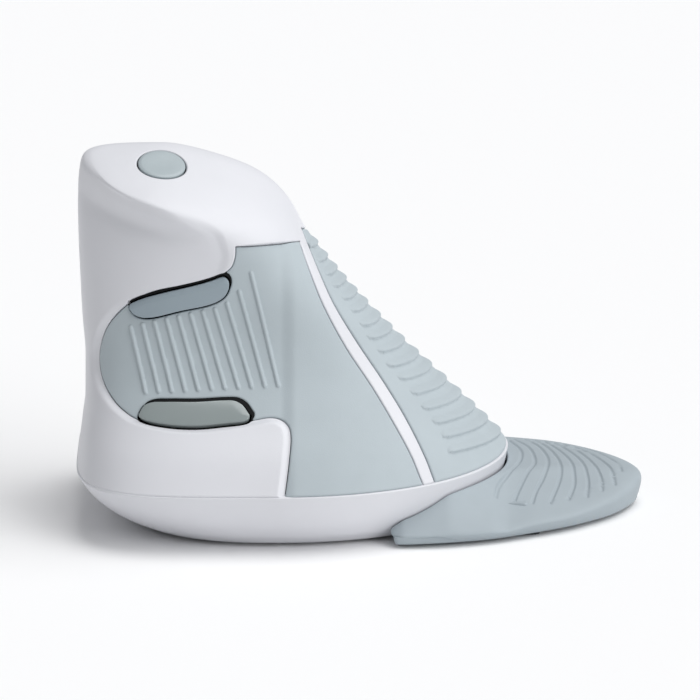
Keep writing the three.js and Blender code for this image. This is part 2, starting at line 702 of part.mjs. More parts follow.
// ---------------------------------------------------------------- palm rest
// Height of the palm rest: level beside the hull, falling to the free end, the thumb side
// and the tip.
function restTop(x, y) {
  const brow = x < 27 ? -7 + 1.76 * (x - 27) : Math.min(4, -7 + 0.85 * (x - 27));
  const steep = THREE.MathUtils.clamp(0.35 - 0.0085 * (x - 27), 0.15, 0.4);
  const fall = steep * Math.max(0, Math.max(brow, -27) - y);
  return 9.4 - 0.0875 * Math.max(0, x - 29) - fall - 0.55 * Math.max(0, 17 - x);
}

function restRing(points, inset, height) {
  return points.map(([x, y]) => {
    const dx = x - REST_CENTRE[0];
    const dy = y - REST_CENTRE[1];
    const keep = 1 - inset / Math.hypot(dx, dy);
    const px = REST_CENTRE[0] + dx * keep;
    const py = REST_CENTRE[1] + dy * keep;
    return [px, py, height(px, py)];
  });
}

function restBody(rings, count) {
  const outline = smooth(REST_OUTLINE, count);
  return loft(rings.map(([inset, height]) => restRing(outline, inset, height)));
}

const level = (z) => () => z;
const part = (share) => (x, y) => REST_SPLIT + share * (restTop(x, y) - REST_SPLIT);
const hullSpace = hullBody(-0.4, 0, SEAM_Z + 2, 52);

function palmRestCover() {
  const outside = restBody([
    [0.7, part(0)], [0.1, part(0.14)], [0, part(0.42)], [0.4, part(0.7)], [1.3, part(0.87)],
    [2.6, part(0.95)], [4, part(0.985)], [6, part(1)], [14, part(1)],
  ], 56);
  const pocket = restBody([
    [2.6, level(2)], [2.6, part(0.15)], [3.2, part(0.5)], [5, part(0.6)], [18, part(0.6)],
  ], 40).subtract(hullBody(-2.4, 0, SEAM_Z + 2, 36)).intersect(
    box(WORLD, [13, 60], [-40, 40], [0, 12]));
  const tongues = TONGUE_Y.map((y) => box(WORLD, [20, 33.5], [y - 2.7, y + 2.7], [3.5, 5.7]));
  const bosses = REST_SCREWS.map(([x, y, z]) => disc(WORLD, x, y, [REST_SPLIT, z], 2.6, 16));
  return cut(
    union(outside.subtract(hullSpace).subtract(pocket), ...tongues, ...bosses),
    ...REST_SCREWS.map(([x, y]) => disc(WORLD, x, y, [1, 5], 1.4, 12)),
  );
}

const REST_SCREWS = [[36, -10, 5.2], [40, 14, 6.6]];

function palmRestPlate() {
  const plate = restBody([[1.6, level(0.7)], [0.9, level(1.2)], [0.7, level(2.1)]], 56);
  return cut(
    plate.subtract(hullSpace),
    ...REST_FEET.map(([x, y]) => pad(WORLD, wide(x, GAP), wide(y, GAP), [0, FOOT_HEIGHT + GAP], 2)),
    ...REST_SCREWS.map(([x, y]) => disc(WORLD, x, y, [0, 3], 1.4, 12)),
    ...REST_SCREWS.map(([x, y]) => disc(WORLD, x, y, [0, 1.7], 2.5, 20)),
  );
}

function restScrew([x, y]) {
  return union(
    disc(WORLD, x, y, [0.8, 1.4], 2.1, 12),
    disc(WORLD, x, y, [1.3, 4.6], 1.05, 8),
  );
}

// ---------------------------------------------------------------- assembly
const group = new THREE.Group();
group.name = 'vertical_mouse';

function place(name, body, colour, roughness = 0.55, metalness = 0) {
  const material = new THREE.MeshStandardMaterial({ color: colour, roughness, metalness });
  const mesh = new THREE.Mesh(geometryOf(body), material);
  mesh.name = name;
  group.add(mesh);
}

place('front_shell', frontShell(), COLOURS.white);
place('thumb_grip', thumbGrip(), COLOURS.grey, 0.8);
place('palm_grip', palmGrip(), COLOURS.grey, 0.8);
place('upper_side_button', sideButton(UPPER_CAP, UPPER_STEM), COLOURS.darkGrey, 0.35);
place('lower_side_button', sideButton(LOWER_CAP, LOWER_STEM), COLOURS.darkGrey, 0.3);
place('upper_button_well', buttonWell(UPPER_OPENING, UPPER_STEM), COLOURS.black);
place('lower_button_well', buttonWell(LOWER_OPENING, LOWER_STEM), COLOURS.black);
place('dpi_button', dpiButton(), COLOURS.grey, 0.45);
place('index_button', mainButton(INDEX_BUTTON, [-41, 14]), COLOURS.white);
place('middle_button', mainButton(MIDDLE_BUTTON, [-41, -13]), COLOURS.white);

place('wheel_tyre', wheelTyre(), COLOURS.rubber, 0.9);
place('wheel_hub', wheelHub(), COLOURS.darkGrey);
place('wheel_carrier', wheelCarrier(), COLOURS.black);
place('wheel_encoder', wheelEncoder(), COLOURS.black);

place('finger_board', fingerBoard(), COLOURS.board);
place('index_switch', microSwitch(-41, 14, [6.4, 2.9], 5.5), COLOURS.black);
place('middle_switch', microSwitch(-41, -13, [6.4, 2.9], 5.5), COLOURS.black);
place('wheel_switch', microSwitch(-20.6, 0, [2.6, 4.5], 4.2), COLOURS.black);
place('side_board', sideBoard(), COLOURS.board);
place('upper_side_switch', sideSwitch(UPPER_STEM), COLOURS.black);
place('lower_side_switch', sideSwitch(LOWER_STEM), COLOURS.black);
place('top_board', topBoard(), COLOURS.board);
place('top_switch', topSwitch(), COLOURS.black);
place('main_board', mainBoard(), COLOURS.board);
place('sensor_chip', box(WORLD, [SENSOR_X - 5, SENSOR_X + 5], [SENSOR_Y - 5.5, SENSOR_Y + 5.5],
  [7.1, 9.8]), COLOURS.black);
place('sensor_lens', sensorLens(), COLOURS.clear, 0.1);
place('power_switch', powerSwitch(), COLOURS.black);
place('power_knob', powerKnob(), COLOURS.darkGrey);

place('hull', hull(), COLOURS.white);
place('battery_door', batteryDoor(), COLOURS.white);
place('battery', battery(), COLOURS.cell, 0.4);
place('battery_spring', batterySpring(), COLOURS.steel, 0.3, 1);
place('battery_contact', batteryContact(), COLOURS.steel, 0.3, 1);
SCREWS.forEach((at, i) => place(`hull_screw_${i + 1}`, screw(at), COLOURS.steel, 0.3, 1));
FEET.forEach((at, i) => place(`hull_foot_${i + 1}`, foot(at, FOOT_HEIGHT), COLOURS.rubber));

place('palm_rest_cover', palmRestCover(), COLOURS.grey, 0.7);
place('palm_rest_plate', palmRestPlate(), COLOURS.grey, 0.7);
REST_SCREWS.forEach((at, i) => place(`rest_screw_${i + 1}`, restScrew(at), COLOURS.steel, 0.3, 1));
REST_FEET.forEach((at, i) => place(`rest_foot_${i + 1}`, foot(at, FOOT_HEIGHT), COLOURS.rubber));

export default group;
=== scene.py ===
"""Upright cordless mouse: the visual model over the CAD frame.

Lengths in the tables are millimetres. x runs from the front to the palm rest, y from the thumb
side to the finger side, z up."""
import json
import math

import bpy
import numpy as np
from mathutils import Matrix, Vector


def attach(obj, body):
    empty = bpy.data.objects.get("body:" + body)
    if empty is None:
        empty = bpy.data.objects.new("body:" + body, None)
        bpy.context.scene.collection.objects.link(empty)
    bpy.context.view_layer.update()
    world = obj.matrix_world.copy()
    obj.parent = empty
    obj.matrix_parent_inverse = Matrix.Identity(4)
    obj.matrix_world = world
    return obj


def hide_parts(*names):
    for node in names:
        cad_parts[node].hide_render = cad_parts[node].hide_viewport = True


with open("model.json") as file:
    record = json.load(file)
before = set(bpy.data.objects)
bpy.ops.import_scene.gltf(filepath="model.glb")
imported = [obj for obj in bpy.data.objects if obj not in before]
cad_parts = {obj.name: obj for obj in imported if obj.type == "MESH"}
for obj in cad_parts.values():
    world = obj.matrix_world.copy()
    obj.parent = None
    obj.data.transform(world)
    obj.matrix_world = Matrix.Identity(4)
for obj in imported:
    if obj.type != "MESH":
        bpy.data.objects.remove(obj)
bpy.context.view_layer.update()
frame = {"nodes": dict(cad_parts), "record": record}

MM = 0.001
E = math.radians(15)            # slope of the plane in which the thumb side is drawn
LEAN = math.radians(20)         # lean of the finger side
TILT = math.radians(21)         # tilt of the top face towards the thumb
FLOOR_Z, SEAM_Z, TOP_Z = 0.6, 12.0, 70.4

# ------------------------------------------------------------------ outlines and sections
# One section a row: height, reach to front, rear, thumb side and finger side, centre x and y,
# squareness of the front-thumb, rear-thumb, rear-finger and front-finger quarters, tilt in
# degrees.
SHELL = np.array([
    [12, -56.4, 30.0, -33.6, 33.4, -16, 7.0, 4.6, 2.0, 2.2, 4.0, 0],
    [18, -55.6, 24.2, -29.4, 30.6, -17, 7.0, 4.4, 2.1, 2.2, 4.0, 0],
    [25, -54.8, 17.0, -22.6, 28.0, -19, 7.0, 4.0, 2.3, 2.3, 4.0, 0],
    [32, -54.8, 9.8, -17.0, 25.2, -22, 6.5, 3.4, 2.5, 2.4, 4.0, 0],
    [40, -55.4, 2.2, -13.8, 22.2, -25, 6.0, 2.9, 2.7, 2.6, 4.0, 0],
    [48, -55.8, -5.0, -12.4, 19.4, -27, 6.0, 2.4, 2.9, 2.8, 3.9, 3],
    [55, -56.1, -10.6, -11.6, 17.0, -28, 6.5, 2.0, 2.9, 3.0, 3.8, 9],
    [60, -56.2, -13.8, -11.4, 15.6, -29, 7.0, 1.7, 2.8, 3.0, 3.7, 15],
    [64, -56.1, -18.8, -11.2, 14.4, -30, 7.5, 1.5, 2.6, 2.8, 3.6, 20],
    [67, -55.8, -26.0, -10.8, 13.4, -34, 7.5, 1.5, 2.4, 2.6, 3.5, 21],
    [69.0, -55.2, -33.5, -9.6, 12.6, -38, 7.2, 1.5, 2.3, 2.4, 3.2, 21],
    [69.9, -53.8, -38.0, -7.6, 11.0, -42, 6.6, 1.6, 2.2, 2.2, 2.8, 21],
    [70.3, -50.0, -42.0, -2.0, 7.0, -45, 4.0, 2.0, 2.0, 2.0, 2.0, 21],
    [70.4, -46.002, -45.998, 2.998, 3.002, -46, 3.0, 2.0, 2.0, 2.0, 2.0, 21],
])
HULL = np.array([
    [0.6, -46.0, 26.0, -26.6, 26.0, -16, 7.0, 2.6, 2.0, 2.2, 2.8, 0],
    [3.0, -49.8, 27.6, -29.6, 28.8, -16, 7.0, 3.0, 2.0, 2.2, 3.2, 0],
    [6.0, -52.8, 28.8, -31.8, 31.0, -16, 7.0, 3.6, 2.0, 2.2, 3.6, 0],
    [9.0, -55.0, 29.5, -33.0, 32.8, -16, 7.0, 4.2, 2.0, 2.2, 3.9, 0],
    [12.0, -56.7, 30.1, -33.7, 33.7, -16, 7.0, 4.6, 2.0, 2.2, 4.0, 0],
])

# Outlines on the thumb side hold (x, height in the sloping plane), see thumb_plane.
THUMB_LOBE = [(-24.4, 59.4), (-24.5, 57.4), (-25.2, 55.4), (-26.6, 54.2), (-30, 53), (-33.8, 52),
              (-41.2, 50.5), (-46, 48.2), (-50.2, 44.1), (-51.9, 40.3), (-52.3, 36.8), (-51.4, 33),
              (-48.9, 29.1), (-46, 26.6), (-44.1, 25.6), (-38.5, 24.3), (-32.3, 23.9), (-26, 24.5),
              (-20.7, 25.4), (-17.3, 25.9), (-15.3, 25.4), (-14.0, 24.1), (-13.5, 22.3),
              (-13.8, 17), (-14.4, 12), (-15.4, 5)]
STRIPE_LEFT = [(16.4, 5), (12.5, 13), (10.5, 17.9), (6.9, 24.6), (2.6, 31.8), (-2.4, 39.3),
               (-7, 47.9), (-9.9, 55.4), (-11.7, 60.7)]
STRIPE_RIGHT = [(-11.3, 63.4), (-8.1, 55.4), (-4.9, 48.2), (-0.2, 40.4), (5.1, 32.5), (9.4, 25.4),
                (13.3, 17.5), (15, 13), (18.4, 5)]
UPPER_CAP = [(-45.8, 47.9), (-44.8, 46.1), (-43.2, 45.4), (-41, 45.4), (-35.3, 46.7),
             (-30.3, 47.7), (-27.9, 48.6), (-26.5, 49.7), (-25.8, 51.2), (-25.9, 52.6),
             (-26.8, 53.3), (-29.4, 52.5), (-32.3, 51.7), (-38.2, 50.4), (-42.6, 49.3),
             (-44.6, 48.6)]
UPPER_TOP_EDGE = [(-46.2, 48), (-42.6, 49.3), (-38.2, 50.45), (-32.3, 51.8), (-26.8, 53.4)]
LOWER_CAP = [(-43.6, 26), (-43.3, 27), (-42.5, 28.1), (-41, 28.7), (-38.2, 28.8), (-32.3, 28.8),
             (-26.5, 29.1), (-24.6, 29), (-23.1, 28.2), (-22.1, 26.9), (-21.6, 26), (-22.2, 25.2),
             (-26.5, 24.6), (-32.3, 24.1), (-38, 24.4), (-42.6, 25.3)]

# Outlines on the finger side hold (x, height up the leaning side), see finger_plane.
INDEX_BUTTON = [(-50, 6.5), (-16, 6.5), (-17.5, 15), (-21, 20), (-26, 22), (-50, 22)]
MIDDLE_BUTTON = [(-50, -22), (-9, -22), (-13, -6.5), (-50, -6.5)]

# Upper and lower end of each thumb rib, and where each palm rib starts on the thumb side.
THUMB_RIBS = [((-45.5 + 2.42 * i, 43.5 + 0.5 * i + (0.62 * (i - 7) ** 2 if i > 7 else 0)),
               (-42.4 + 2.64 * i, 30.8 + 0.14 * i)) for i in range(11)]
PALM_RIB_ENDS = [(-6.1, 54.5), (-4.7, 52.1), (-2.7, 49.6), (-0.9, 47.1), (1, 44.3), (2.5, 41.6),
                 (4.4, 39.1), (6.2, 36.2), (8.5, 33.6), (11, 30.7), (13.3, 27.7), (15.5, 24.8),
                 (17.3, 22), (18.5, 19.1)]


def catmull(points, closed=True, steps=8):
    """A smooth line through the points."""
    pts = [np.array(p, float) for p in points]
    n = len(pts)
    out = []
    for i in range(n if closed else n - 1):
        if closed:
            p0, p1, p2, p3 = (pts[(i + k - 1) % n] for k in range(4))
        else:
            p0, p1, p2, p3 = (pts[min(max(i + k - 1, 0), n - 1)] for k in range(4))
        a, b, c = (max(np.linalg.norm(v) ** 0.5, 1e-6) for v in (p1 - p0, p2 - p1, p3 - p2))
        m1 = (p2 - p1) + b * ((p1 - p0) / a - (p2 - p0) / (a + b))
        m2 = (p2 - p1) + b * ((p3 - p2) / c - (p3 - p1) / (b + c))
        for k in range(steps):
            t = k / steps
            out.append((2 * t**3 - 3 * t**2 + 1) * p1 + (t**3 - 2 * t**2 + t) * m1
                       + (-2 * t**3 + 3 * t**2) * p2 + (t**3 - t**2) * m2)
    if not closed:
        out.append(pts[-1])
    return [tuple(p) for p in out]


def rounded(points, radius, steps=6):
    """A polygon with its corners rounded."""
    out = []
    n = len(points)
    for i in range(n):
        a, p, b = (np.array(points[(i + k) % n], float) for k in (-1, 0, 1))
        u, v = (a - p) / np.linalg.norm(a - p), (b - p) / np.linalg.norm(b - p)
        r = min(radius, 0.45 * np.linalg.norm(a - p), 0.45 * np.linalg.norm(b - p))
        for k in range(steps + 1):
            t = k / steps
            start, end = p + u * r, p + v * r
            out.append(tuple((1 - t) ** 2 * start + 2 * t * (1 - t) * p + t**2 * end))
    return out


def outline_distance(points, x, y):
    """Signed distance to a closed outline, positive inside."""
    px = np.array([p[0] for p in points])
    py = np.array([p[1] for p in points])
    qx, qy = np.roll(px, -1), np.roll(py, -1)
    best = np.full(x.shape, 1e9)
    inside = np.zeros(x.shape, bool)
    for ax, ay, bx, by in zip(px, py, qx, qy):
        dx, dy = bx - ax, by - ay
        t = np.clip(((x - ax) * dx + (y - ay) * dy) / (dx * dx + dy * dy + 1e-12), 0, 1)
        best = np.minimum(best, (x - ax - t * dx) ** 2 + (y - ay - t * dy) ** 2)
        if ay != by:
            crossing = (ay > y) != (by > y)
            inside ^= crossing & (x < (bx - ax) * (y - ay) / (by - ay) + ax)
    best = np.sqrt(best)
    return np.where(inside, best, -best)


def bar_distance(a, b, x, y):
    """Distance to the line from a to b."""
    dx, dy = b[0] - a[0], b[1] - a[1]
    t = np.clip(((x - a[0]) * dx + (y - a[1]) * dy) / (dx * dx + dy * dy), 0, 1)
    return np.hypot(x - a[0] - t * dx, y - a[1] - t * dy)


# ------------------------------------------------------------------ lofted surface
def pchip(x, y, q):
    """Smooth values at q along the points (x, y), with no overshoot between them."""
    h, d = np.diff(x), np.diff(y) / np.diff(x)
    m = np.zeros_like(y)
    for i in range(1, len(x) - 1):
        if d[i - 1] * d[i] > 0:
            w1, w2 = 2 * h[i] + h[i - 1], h[i] + 2 * h[i - 1]
            m[i] = (w1 + w2) / (w1 / d[i - 1] + w2 / d[i])
    m[0], m[-1] = d[0], d[-1]
    q = np.clip(q, x[0], x[-1])
    i = np.clip(np.searchsorted(x, q) - 1, 0, len(x) - 2)
    t = (q - x[i]) / h[i]
    return ((2 * t**3 - 3 * t**2 + 1) * y[i] + (t**3 - 2 * t**2 + t) * h[i] * m[i]
            + (-2 * t**3 + 3 * t**2) * y[i + 1] + (t**3 - t**2) * h[i] * m[i + 1])


def sections(rows, heights):
    """The section rows at these heights, without their height column."""
    heights = np.asarray(heights, float)
    return np.stack([pchip(rows[:, 0], rows[:, k], heights) for k in range(1, 12)], axis=1)


def ring_points(row, height, count):
    """count points spaced evenly round one section, starting at the rear."""
    front, rear, near, far, cx, cy, fn, rn, rf, ff, tilt = row
    a = (np.arange(2400) + 0.5) * 2 * math.pi / 2400
    a = a - 0.35 * np.sin(4 * a) / 4 * 1.6
    c, s = np.cos(a), np.sin(a)
    power = 2 / np.where(s < 0, np.where(c >= 0, rn, fn), np.where(c >= 0, rf, ff))
    x = cx + np.where(c >= 0, rear - cx, cx - front) * np.sign(c) * np.abs(c) ** power
    y = cy + np.where(s < 0, cy - near, far - cy) * np.sign(s) * np.abs(s) ** power
    x, y = np.append(x, x[0]), np.append(y, y[0])
    along = np.append(0, np.cumsum(np.hypot(np.diff(x), np.diff(y))))
    q = np.linspace(0, along[-1], count + 1)
    x, y = np.interp(q, along, x), np.interp(q, along, y)
    return np.stack([x, y, height + (y - 3) * math.tan(math.radians(tilt))], axis=1)


class Table:
    """A surface held as rows of points, so any point of it can be looked up."""

    def __init__(self, rings):
        self.points = np.array(rings)
        du = np.roll(self.points[:, :-1], -1, 1) - np.roll(self.points[:, :-1], 1, 1)
        du = np.concatenate([du, du[:, :1]], axis=1)
        normal = np.cross(du, np.gradient(self.points, axis=0))
        self.normals = normal / (np.linalg.norm(normal, axis=2, keepdims=True) + 1e-12)
        self.rows, self.columns = self.points.shape[0] - 1, self.points.shape[1] - 1

    def at(self, uv):
        """Position and normal at (share round, share up)."""
        u = np.clip(uv[:, 0], 0, 1) * self.columns
        v = np.clip(uv[:, 1], 0, 1) * self.rows
        i = np.minimum(u.astype(int), self.columns - 1)
        j = np.minimum(v.astype(int), self.rows - 1)
        fu, fv = (u - i)[:, None], (v - j)[:, None]

        def mix(t):
            return ((t[j, i] * (1 - fu) + t[j, i + 1] * fu) * (1 - fv)
                    + (t[j + 1, i] * (1 - fu) + t[j + 1, i + 1] * fu) * fv)

        n = mix(self.normals)
        return mix(self.points), n / (np.linalg.norm(n, axis=1, keepdims=True) + 1e-12)


def lofted(rows, low, high, columns=900, pace=0.35):
    """The table of a lofted surface, with rings placed so that none moves far from the last."""
    probe = np.linspace(low, high, 1500)
    move = np.abs(np.diff(sections(rows, probe)[:, :4], axis=0)).max(axis=1)
    length = np.append(0, np.cumsum(np.maximum(move, np.diff(probe))))
    levels = np.append(np.interp(np.arange(0, length[-1], pace), length, probe), high)
    return Table([ring_points(row, h, columns) for row, h in zip(sections(rows, levels), levels)])


def grid(columns, rows):
    """Shares round and up a surface, and the triangles between them."""
    u, v = np.meshgrid(np.linspace(0, 1, columns + 1), np.linspace(0, 1, rows + 1))
    uv = np.stack([u.ravel(), v.ravel()], axis=1)
    i = np.arange(rows)[:, None] * (columns + 1) + np.arange(columns)[None, :]
    a, b, c, d = i.ravel(), (i + 1).ravel(), (i + columns + 2).ravel(), (i + columns + 1).ravel()
    return uv, np.concatenate([np.stack([a, b, c], 1), np.stack([a, c, d], 1)])


def split(uv, tris, value, level):
    """Cuts the triangles along value(uv) = level, so that no triangle crosses it."""
    f = value - level
    f[np.abs(f) < 1e-5] = 0
    sign = np.sign(f).astype(int)
    s = sign[tris]
    cross = (s.max(1) > 0) & (s.min(1) < 0)
    if not cross.any():
        return uv, tris
    keep, cut = tris[~cross], tris[cross]
    edges = np.sort(cut[:, [[0, 1], [1, 2], [2, 0]]].reshape(-1, 2), axis=1)
    ids, inverse = np.unique(edges, axis=0, return_inverse=True)
    inverse = inverse.reshape(-1, 3)
    a, b = ids[:, 0], ids[:, 1]
    crossing = sign[a] * sign[b] < 0
    t = np.where(crossing, f[a] / np.where(crossing, f[a] - f[b], 1), 0)[:, None]
    fresh = uv[a] * (1 - t) + uv[b] * t
    number = np.full(len(ids), -1)
    number[crossing] = len(uv) + np.arange(crossing.sum())
    uv = np.concatenate([uv, fresh[crossing]])
    new = number[inverse]
    out = []
    count = (new >= 0).sum(1)
    one = cut[count == 1]
    edge = new[count == 1]
    for k in range(3):
        pick = edge[:, k] >= 0
        p, q, r, m = one[pick, k], one[pick, (k + 1) % 3], one[pick, (k + 2) % 3], edge[pick, k]
        out += [np.stack([p, m, r], 1), np.stack([m, q, r], 1)]
    two = cut[count == 2]
    edge = new[count == 2]
    for k in range(3):
        pick = edge[:, k] < 0
        p, q, r = two[pick, k], two[pick, (k + 1) % 3], two[pick, (k + 2) % 3]
        m, n = edge[pick, (k + 1) % 3], edge[pick, (k + 2) % 3]
        out += [np.stack([p, q, m], 1), np.stack([p, m, n], 1), np.stack([n, m, r], 1)]
    return uv, np.concatenate([keep] + out)


# ------------------------------------------------------------------ meshes
def weld(points, normals, tris):
    """Joins points that coincide and drops the triangles that vanish."""
    _, first, inverse = np.unique(np.round(points, 3), axis=0, return_index=True,
                                  return_inverse=True)
    tris = inverse.reshape(-1)[tris]
    good = (tris[:, 0] != tris[:, 1]) & (tris[:, 1] != tris[:, 2]) & (tris[:, 2] != tris[:, 0])
    return points[first], normals[first], tris[good]


def rim(tris):
    """Directed edges that belong to one triangle only."""
    e = tris[:, [[0, 1], [1, 2], [2, 0]]].reshape(-1, 2)
    lo, hi = e.min(1), e.max(1)
    _, inverse, counts = np.unique(np.stack([lo, hi], 1), axis=0, return_inverse=True,
                                   return_counts=True)
    return e[counts[inverse.reshape(-1)] == 1]


def add_mesh(name, points, tris, material, body, replaces=(), smooth_angle=None):
    """A mesh object from millimetre points, riding a body."""
    mesh = bpy.data.meshes.new(name)
    mesh.vertices.add(len(points))
    mesh.vertices.foreach_set("co", (np.asarray(points, float) * MM).ravel())
    tris = np.asarray(tris)
    mesh.loops.add(tris.size)
    mesh.loops.foreach_set("vertex_index", tris.ravel())
    mesh.polygons.add(len(tris))
    mesh.polygons.foreach_set("loop_start", np.arange(0, tris.size, 3))
    mesh.polygons.foreach_set("loop_total", np.full(len(tris), 3))
    mesh.update(calc_edges=True)
    mesh.validate()
    mesh.polygons.foreach_set("use_smooth", np.ones(len(mesh.polygons), bool))
    if smooth_angle:
        mesh.set_sharp_from_angle(angle=math.radians(smooth_angle))
    mesh.materials.append(material)
    obj = bpy.data.objects.new(name, mesh)
    bpy.context.scene.collection.objects.link(obj)
    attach(obj, body)
    if replaces:
        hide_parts(*replaces)
    return obj


def skirted(points, normals, tris, depth, back=True):
    """The skin with a wall round its rim and, if asked, a back."""
    edges = rim(tris)
    ids, inverse = np.unique(edges, return_inverse=True)
    inverse = inverse.reshape(-1, 2)
    n = len(points)
    top = points[ids]
    low = points[ids] - normals[ids] * depth
    wall = np.concatenate([top, low])
    m = len(ids)
    a, b = inverse[:, 0] + n, inverse[:, 1] + n
    c, d = b + m, a + m
    out_points = [points, wall]
    out_tris = [tris, np.stack([a, d, b], 1), np.stack([b, d, c], 1)]
    if back:
        out_points.append(points - normals * depth)
        out_tris.append(tris[:, ::-1] + n + 2 * m)
    return np.concatenate(out_points), np.concatenate(out_tris)


def skin(name, surface, base, region, levels, lift, depth, material, body, replaces=(),
         extra=(), back=True):
    """The part of a surface where region(points, normals) > 0.

    levels are the region values to cut along, extra holds (function, levels) pairs for relief, and
    lift(points, normals, region) is how far each point is raised."""
    uv, tris = base
    p, n = surface.at(uv)
    g = region(p, n)
    used, tris = np.unique(tris[g[tris].max(1) > levels[0] - 0.8], return_inverse=True)
    uv, tris = uv[used], tris.reshape(-1, 3)
    for function, cuts in [(region, levels), *extra]:
        for level in cuts:
            p, n = surface.at(uv)
            uv, tris = split(uv, tris, function(p, n), level)
    p, n = surface.at(uv)
    g = region(p, n)
    mid = g[tris].mean(1)
    low = g[tris].min(1)
    tris = tris[(mid > levels[0]) & (low > levels[0] - 2e-3)]
    used, tris = np.unique(tris, return_inverse=True)
    tris = tris.reshape(-1, 3)
    p, n, g = p[used], n[used], g[used]
    top = p + n * lift(p, n, g)[:, None]
    top, n, tris = weld(top, n, tris)
    points, tris = skirted(top, n, tris, depth, back)
    return add_mesh(name, points, tris, material, body, replaces)


def round_edge(g, radius):
    """Drop of a rounded edge at distance g from it."""
    t = np.clip(1 - g / radius, 0, 1)
    return radius * (1 - np.sqrt(1 - t * t))


def ease(t):
    t = np.clip(t, 0, 1)
    return t * t * (3 - 2 * t)


# ------------------------------------------------------------------ materials
def material(name, colour, rough=0.5, grain=0.3, grain_size=0.35, mottle=0.03, metal=0.0,
             coat=0.0, specular=0.5):
    """Moulded plastic, rubber or metal: fine grain, slight mottling and uneven gloss.

    grain is the strength of the bump and grain_size its size in millimetres."""
    mat = bpy.data.materials.new(name)
    mat.use_nodes = True
    nodes, links = mat.node_tree.nodes, mat.node_tree.links
    shader = nodes["Principled BSDF"]
    shader.inputs["Metallic"].default_value = metal
    shader.inputs["Coat Weight"].default_value = coat
    shader.inputs["Coat Roughness"].default_value = 0.25
    shader.inputs["Specular IOR Level"].default_value = specular
    place = nodes.new("ShaderNodeTexCoord")

    def noise(size_mm, detail):
        node = nodes.new("ShaderNodeTexNoise")
        node.inputs["Scale"].default_value = 1000 / size_mm
        node.inputs["Detail"].default_value = detail
        node.inputs["Roughness"].default_value = 0.6
        links.new(place.outputs["Object"], node.inputs["Vector"])
        return node

    tone = nodes.new("ShaderNodeValToRGB")
    tone.color_ramp.elements[0].position, tone.color_ramp.elements[1].position = 0.3, 0.7
    for element, shade in zip(tone.color_ramp.elements, (1 - mottle, 1 + mottle)):
        element.color = (*(min(1, c * shade) for c in colour), 1)
    links.new(noise(9.0, 3).outputs["Fac"], tone.inputs["Fac"])
    links.new(tone.outputs["Color"], shader.inputs["Base Color"])
    gloss = nodes.new("ShaderNodeMapRange")
    gloss.inputs["To Min"].default_value = rough - 0.05
    gloss.inputs["To Max"].default_value = rough + 0.05
    links.new(noise(3.0, 4).outputs["Fac"], gloss.inputs["Value"])
    links.new(gloss.outputs["Result"], shader.inputs["Roughness"])
    bump = nodes.new("ShaderNodeBump")
    bump.inputs["Strength"].default_value = grain
    bump.inputs["Distance"].default_value = 0.00005
    links.new(noise(grain_size, 2).outputs["Fac"], bump.inputs["Height"])
    links.new(bump.outputs["Normal"], shader.inputs["Normal"])
    return mat


def srgb(code):
    """Linear colour of a hexadecimal one."""
    values = [int(code[i:i + 2], 16) / 255 for i in (0, 2, 4)]
    return tuple(v / 12.92 if v < 0.04 else ((v + 0.055) / 1.055) ** 2.4 for v in values)


WHITE = material("white_satin", srgb("d8d9de"), 0.42, 0.25, 0.3, 0.008)
GREY = material("grey_soft_touch", srgb("b0babf"), 0.6, 0.5, 0.22, 0.02, specular=0.35)
REST = material("rest_soft_touch", srgb("a3adb3"), 0.6, 0.5, 0.22, 0.02, specular=0.35)
UPPER_GREY = material("button_satin", srgb("93a0a8"), 0.45, 0.3, 0.25, 0.015)
LOWER_GREY = material("button_gloss", srgb("8c9595"), 0.16, 0.08, 0.6, 0.012, coat=0.5)
DPI_GREY = material("button_round", srgb("a6b1b5"), 0.38, 0.3, 0.25, 0.015)
BLACK = material("black_plastic", srgb("0a0c0e"), 0.6, 0.3, 0.3, 0.1, specular=0.2)
RUBBER = material("wheel_rubber", srgb("3a4044"), 0.75, 0.6, 0.2, 0.06)
HUB = material("wheel_hub_plastic", srgb("77838a"), 0.35, 0.2, 0.3, 0.03)
FOOT = material("foot_slippery", srgb("33383b"), 0.3, 0.3, 0.3, 0.05)
BOARD = material("board_green", srgb("2a6346"), 0.4, 0.4, 0.5, 0.15, coat=0.3)
STEEL = material("steel", srgb("b9bdc2"), 0.3, 0.2, 0.4, 0.05, metal=1.0)
CELL = material("cell_can", srgb("3d5a73"), 0.3, 0.1, 0.5, 0.05, metal=0.6)
LENS = material("lens_clear", srgb("c8d6dc"), 0.08, 0.05, 0.6, 0.02, coat=0.6)
SLOT_LOOKS = {"white_shell": WHITE, "grey_grip": GREY, "rest_grey": REST,
              "button_grey": UPPER_GREY, "black_plastic": BLACK, "wheel_rubber": RUBBER,
              "foot": FOOT, "board": BOARD, "steel": STEEL, "cell_can": CELL, "lens": LENS}


def dress_nodes():
    """Every CAD node that stays gets the look of its material slot."""
    for row in frame["record"]["subparts"]:
        data = frame["nodes"][row["node"]].data
        data.materials.clear()
        data.materials.append(SLOT_LOOKS[row["material_slot"]])


# ------------------------------------------------------------------ places on the body
SIN_E, COS_E = math.sin(E), math.cos(E)
THUMB_EDGE_Y = 27               # the sloping plane meets the desk this far to the thumb side
SIDES_MEET_Y = 8                # the thumb side ends and the finger side begins
ELSEWHERE = -6                  # distance given to points of the other side
TOP_CENTRE = np.array([-39.3, 4.2, 69.7])
TOP_OUT = np.array([0, -math.sin(TILT), math.cos(TILT)])
FINGER_ORIGIN = np.array([0, 21.6, 42.0])
FINGER_UP = np.array([0, -math.sin(LEAN), math.cos(LEAN)])
FINGER_IN = np.array([0, -math.cos(LEAN), -math.sin(LEAN)])


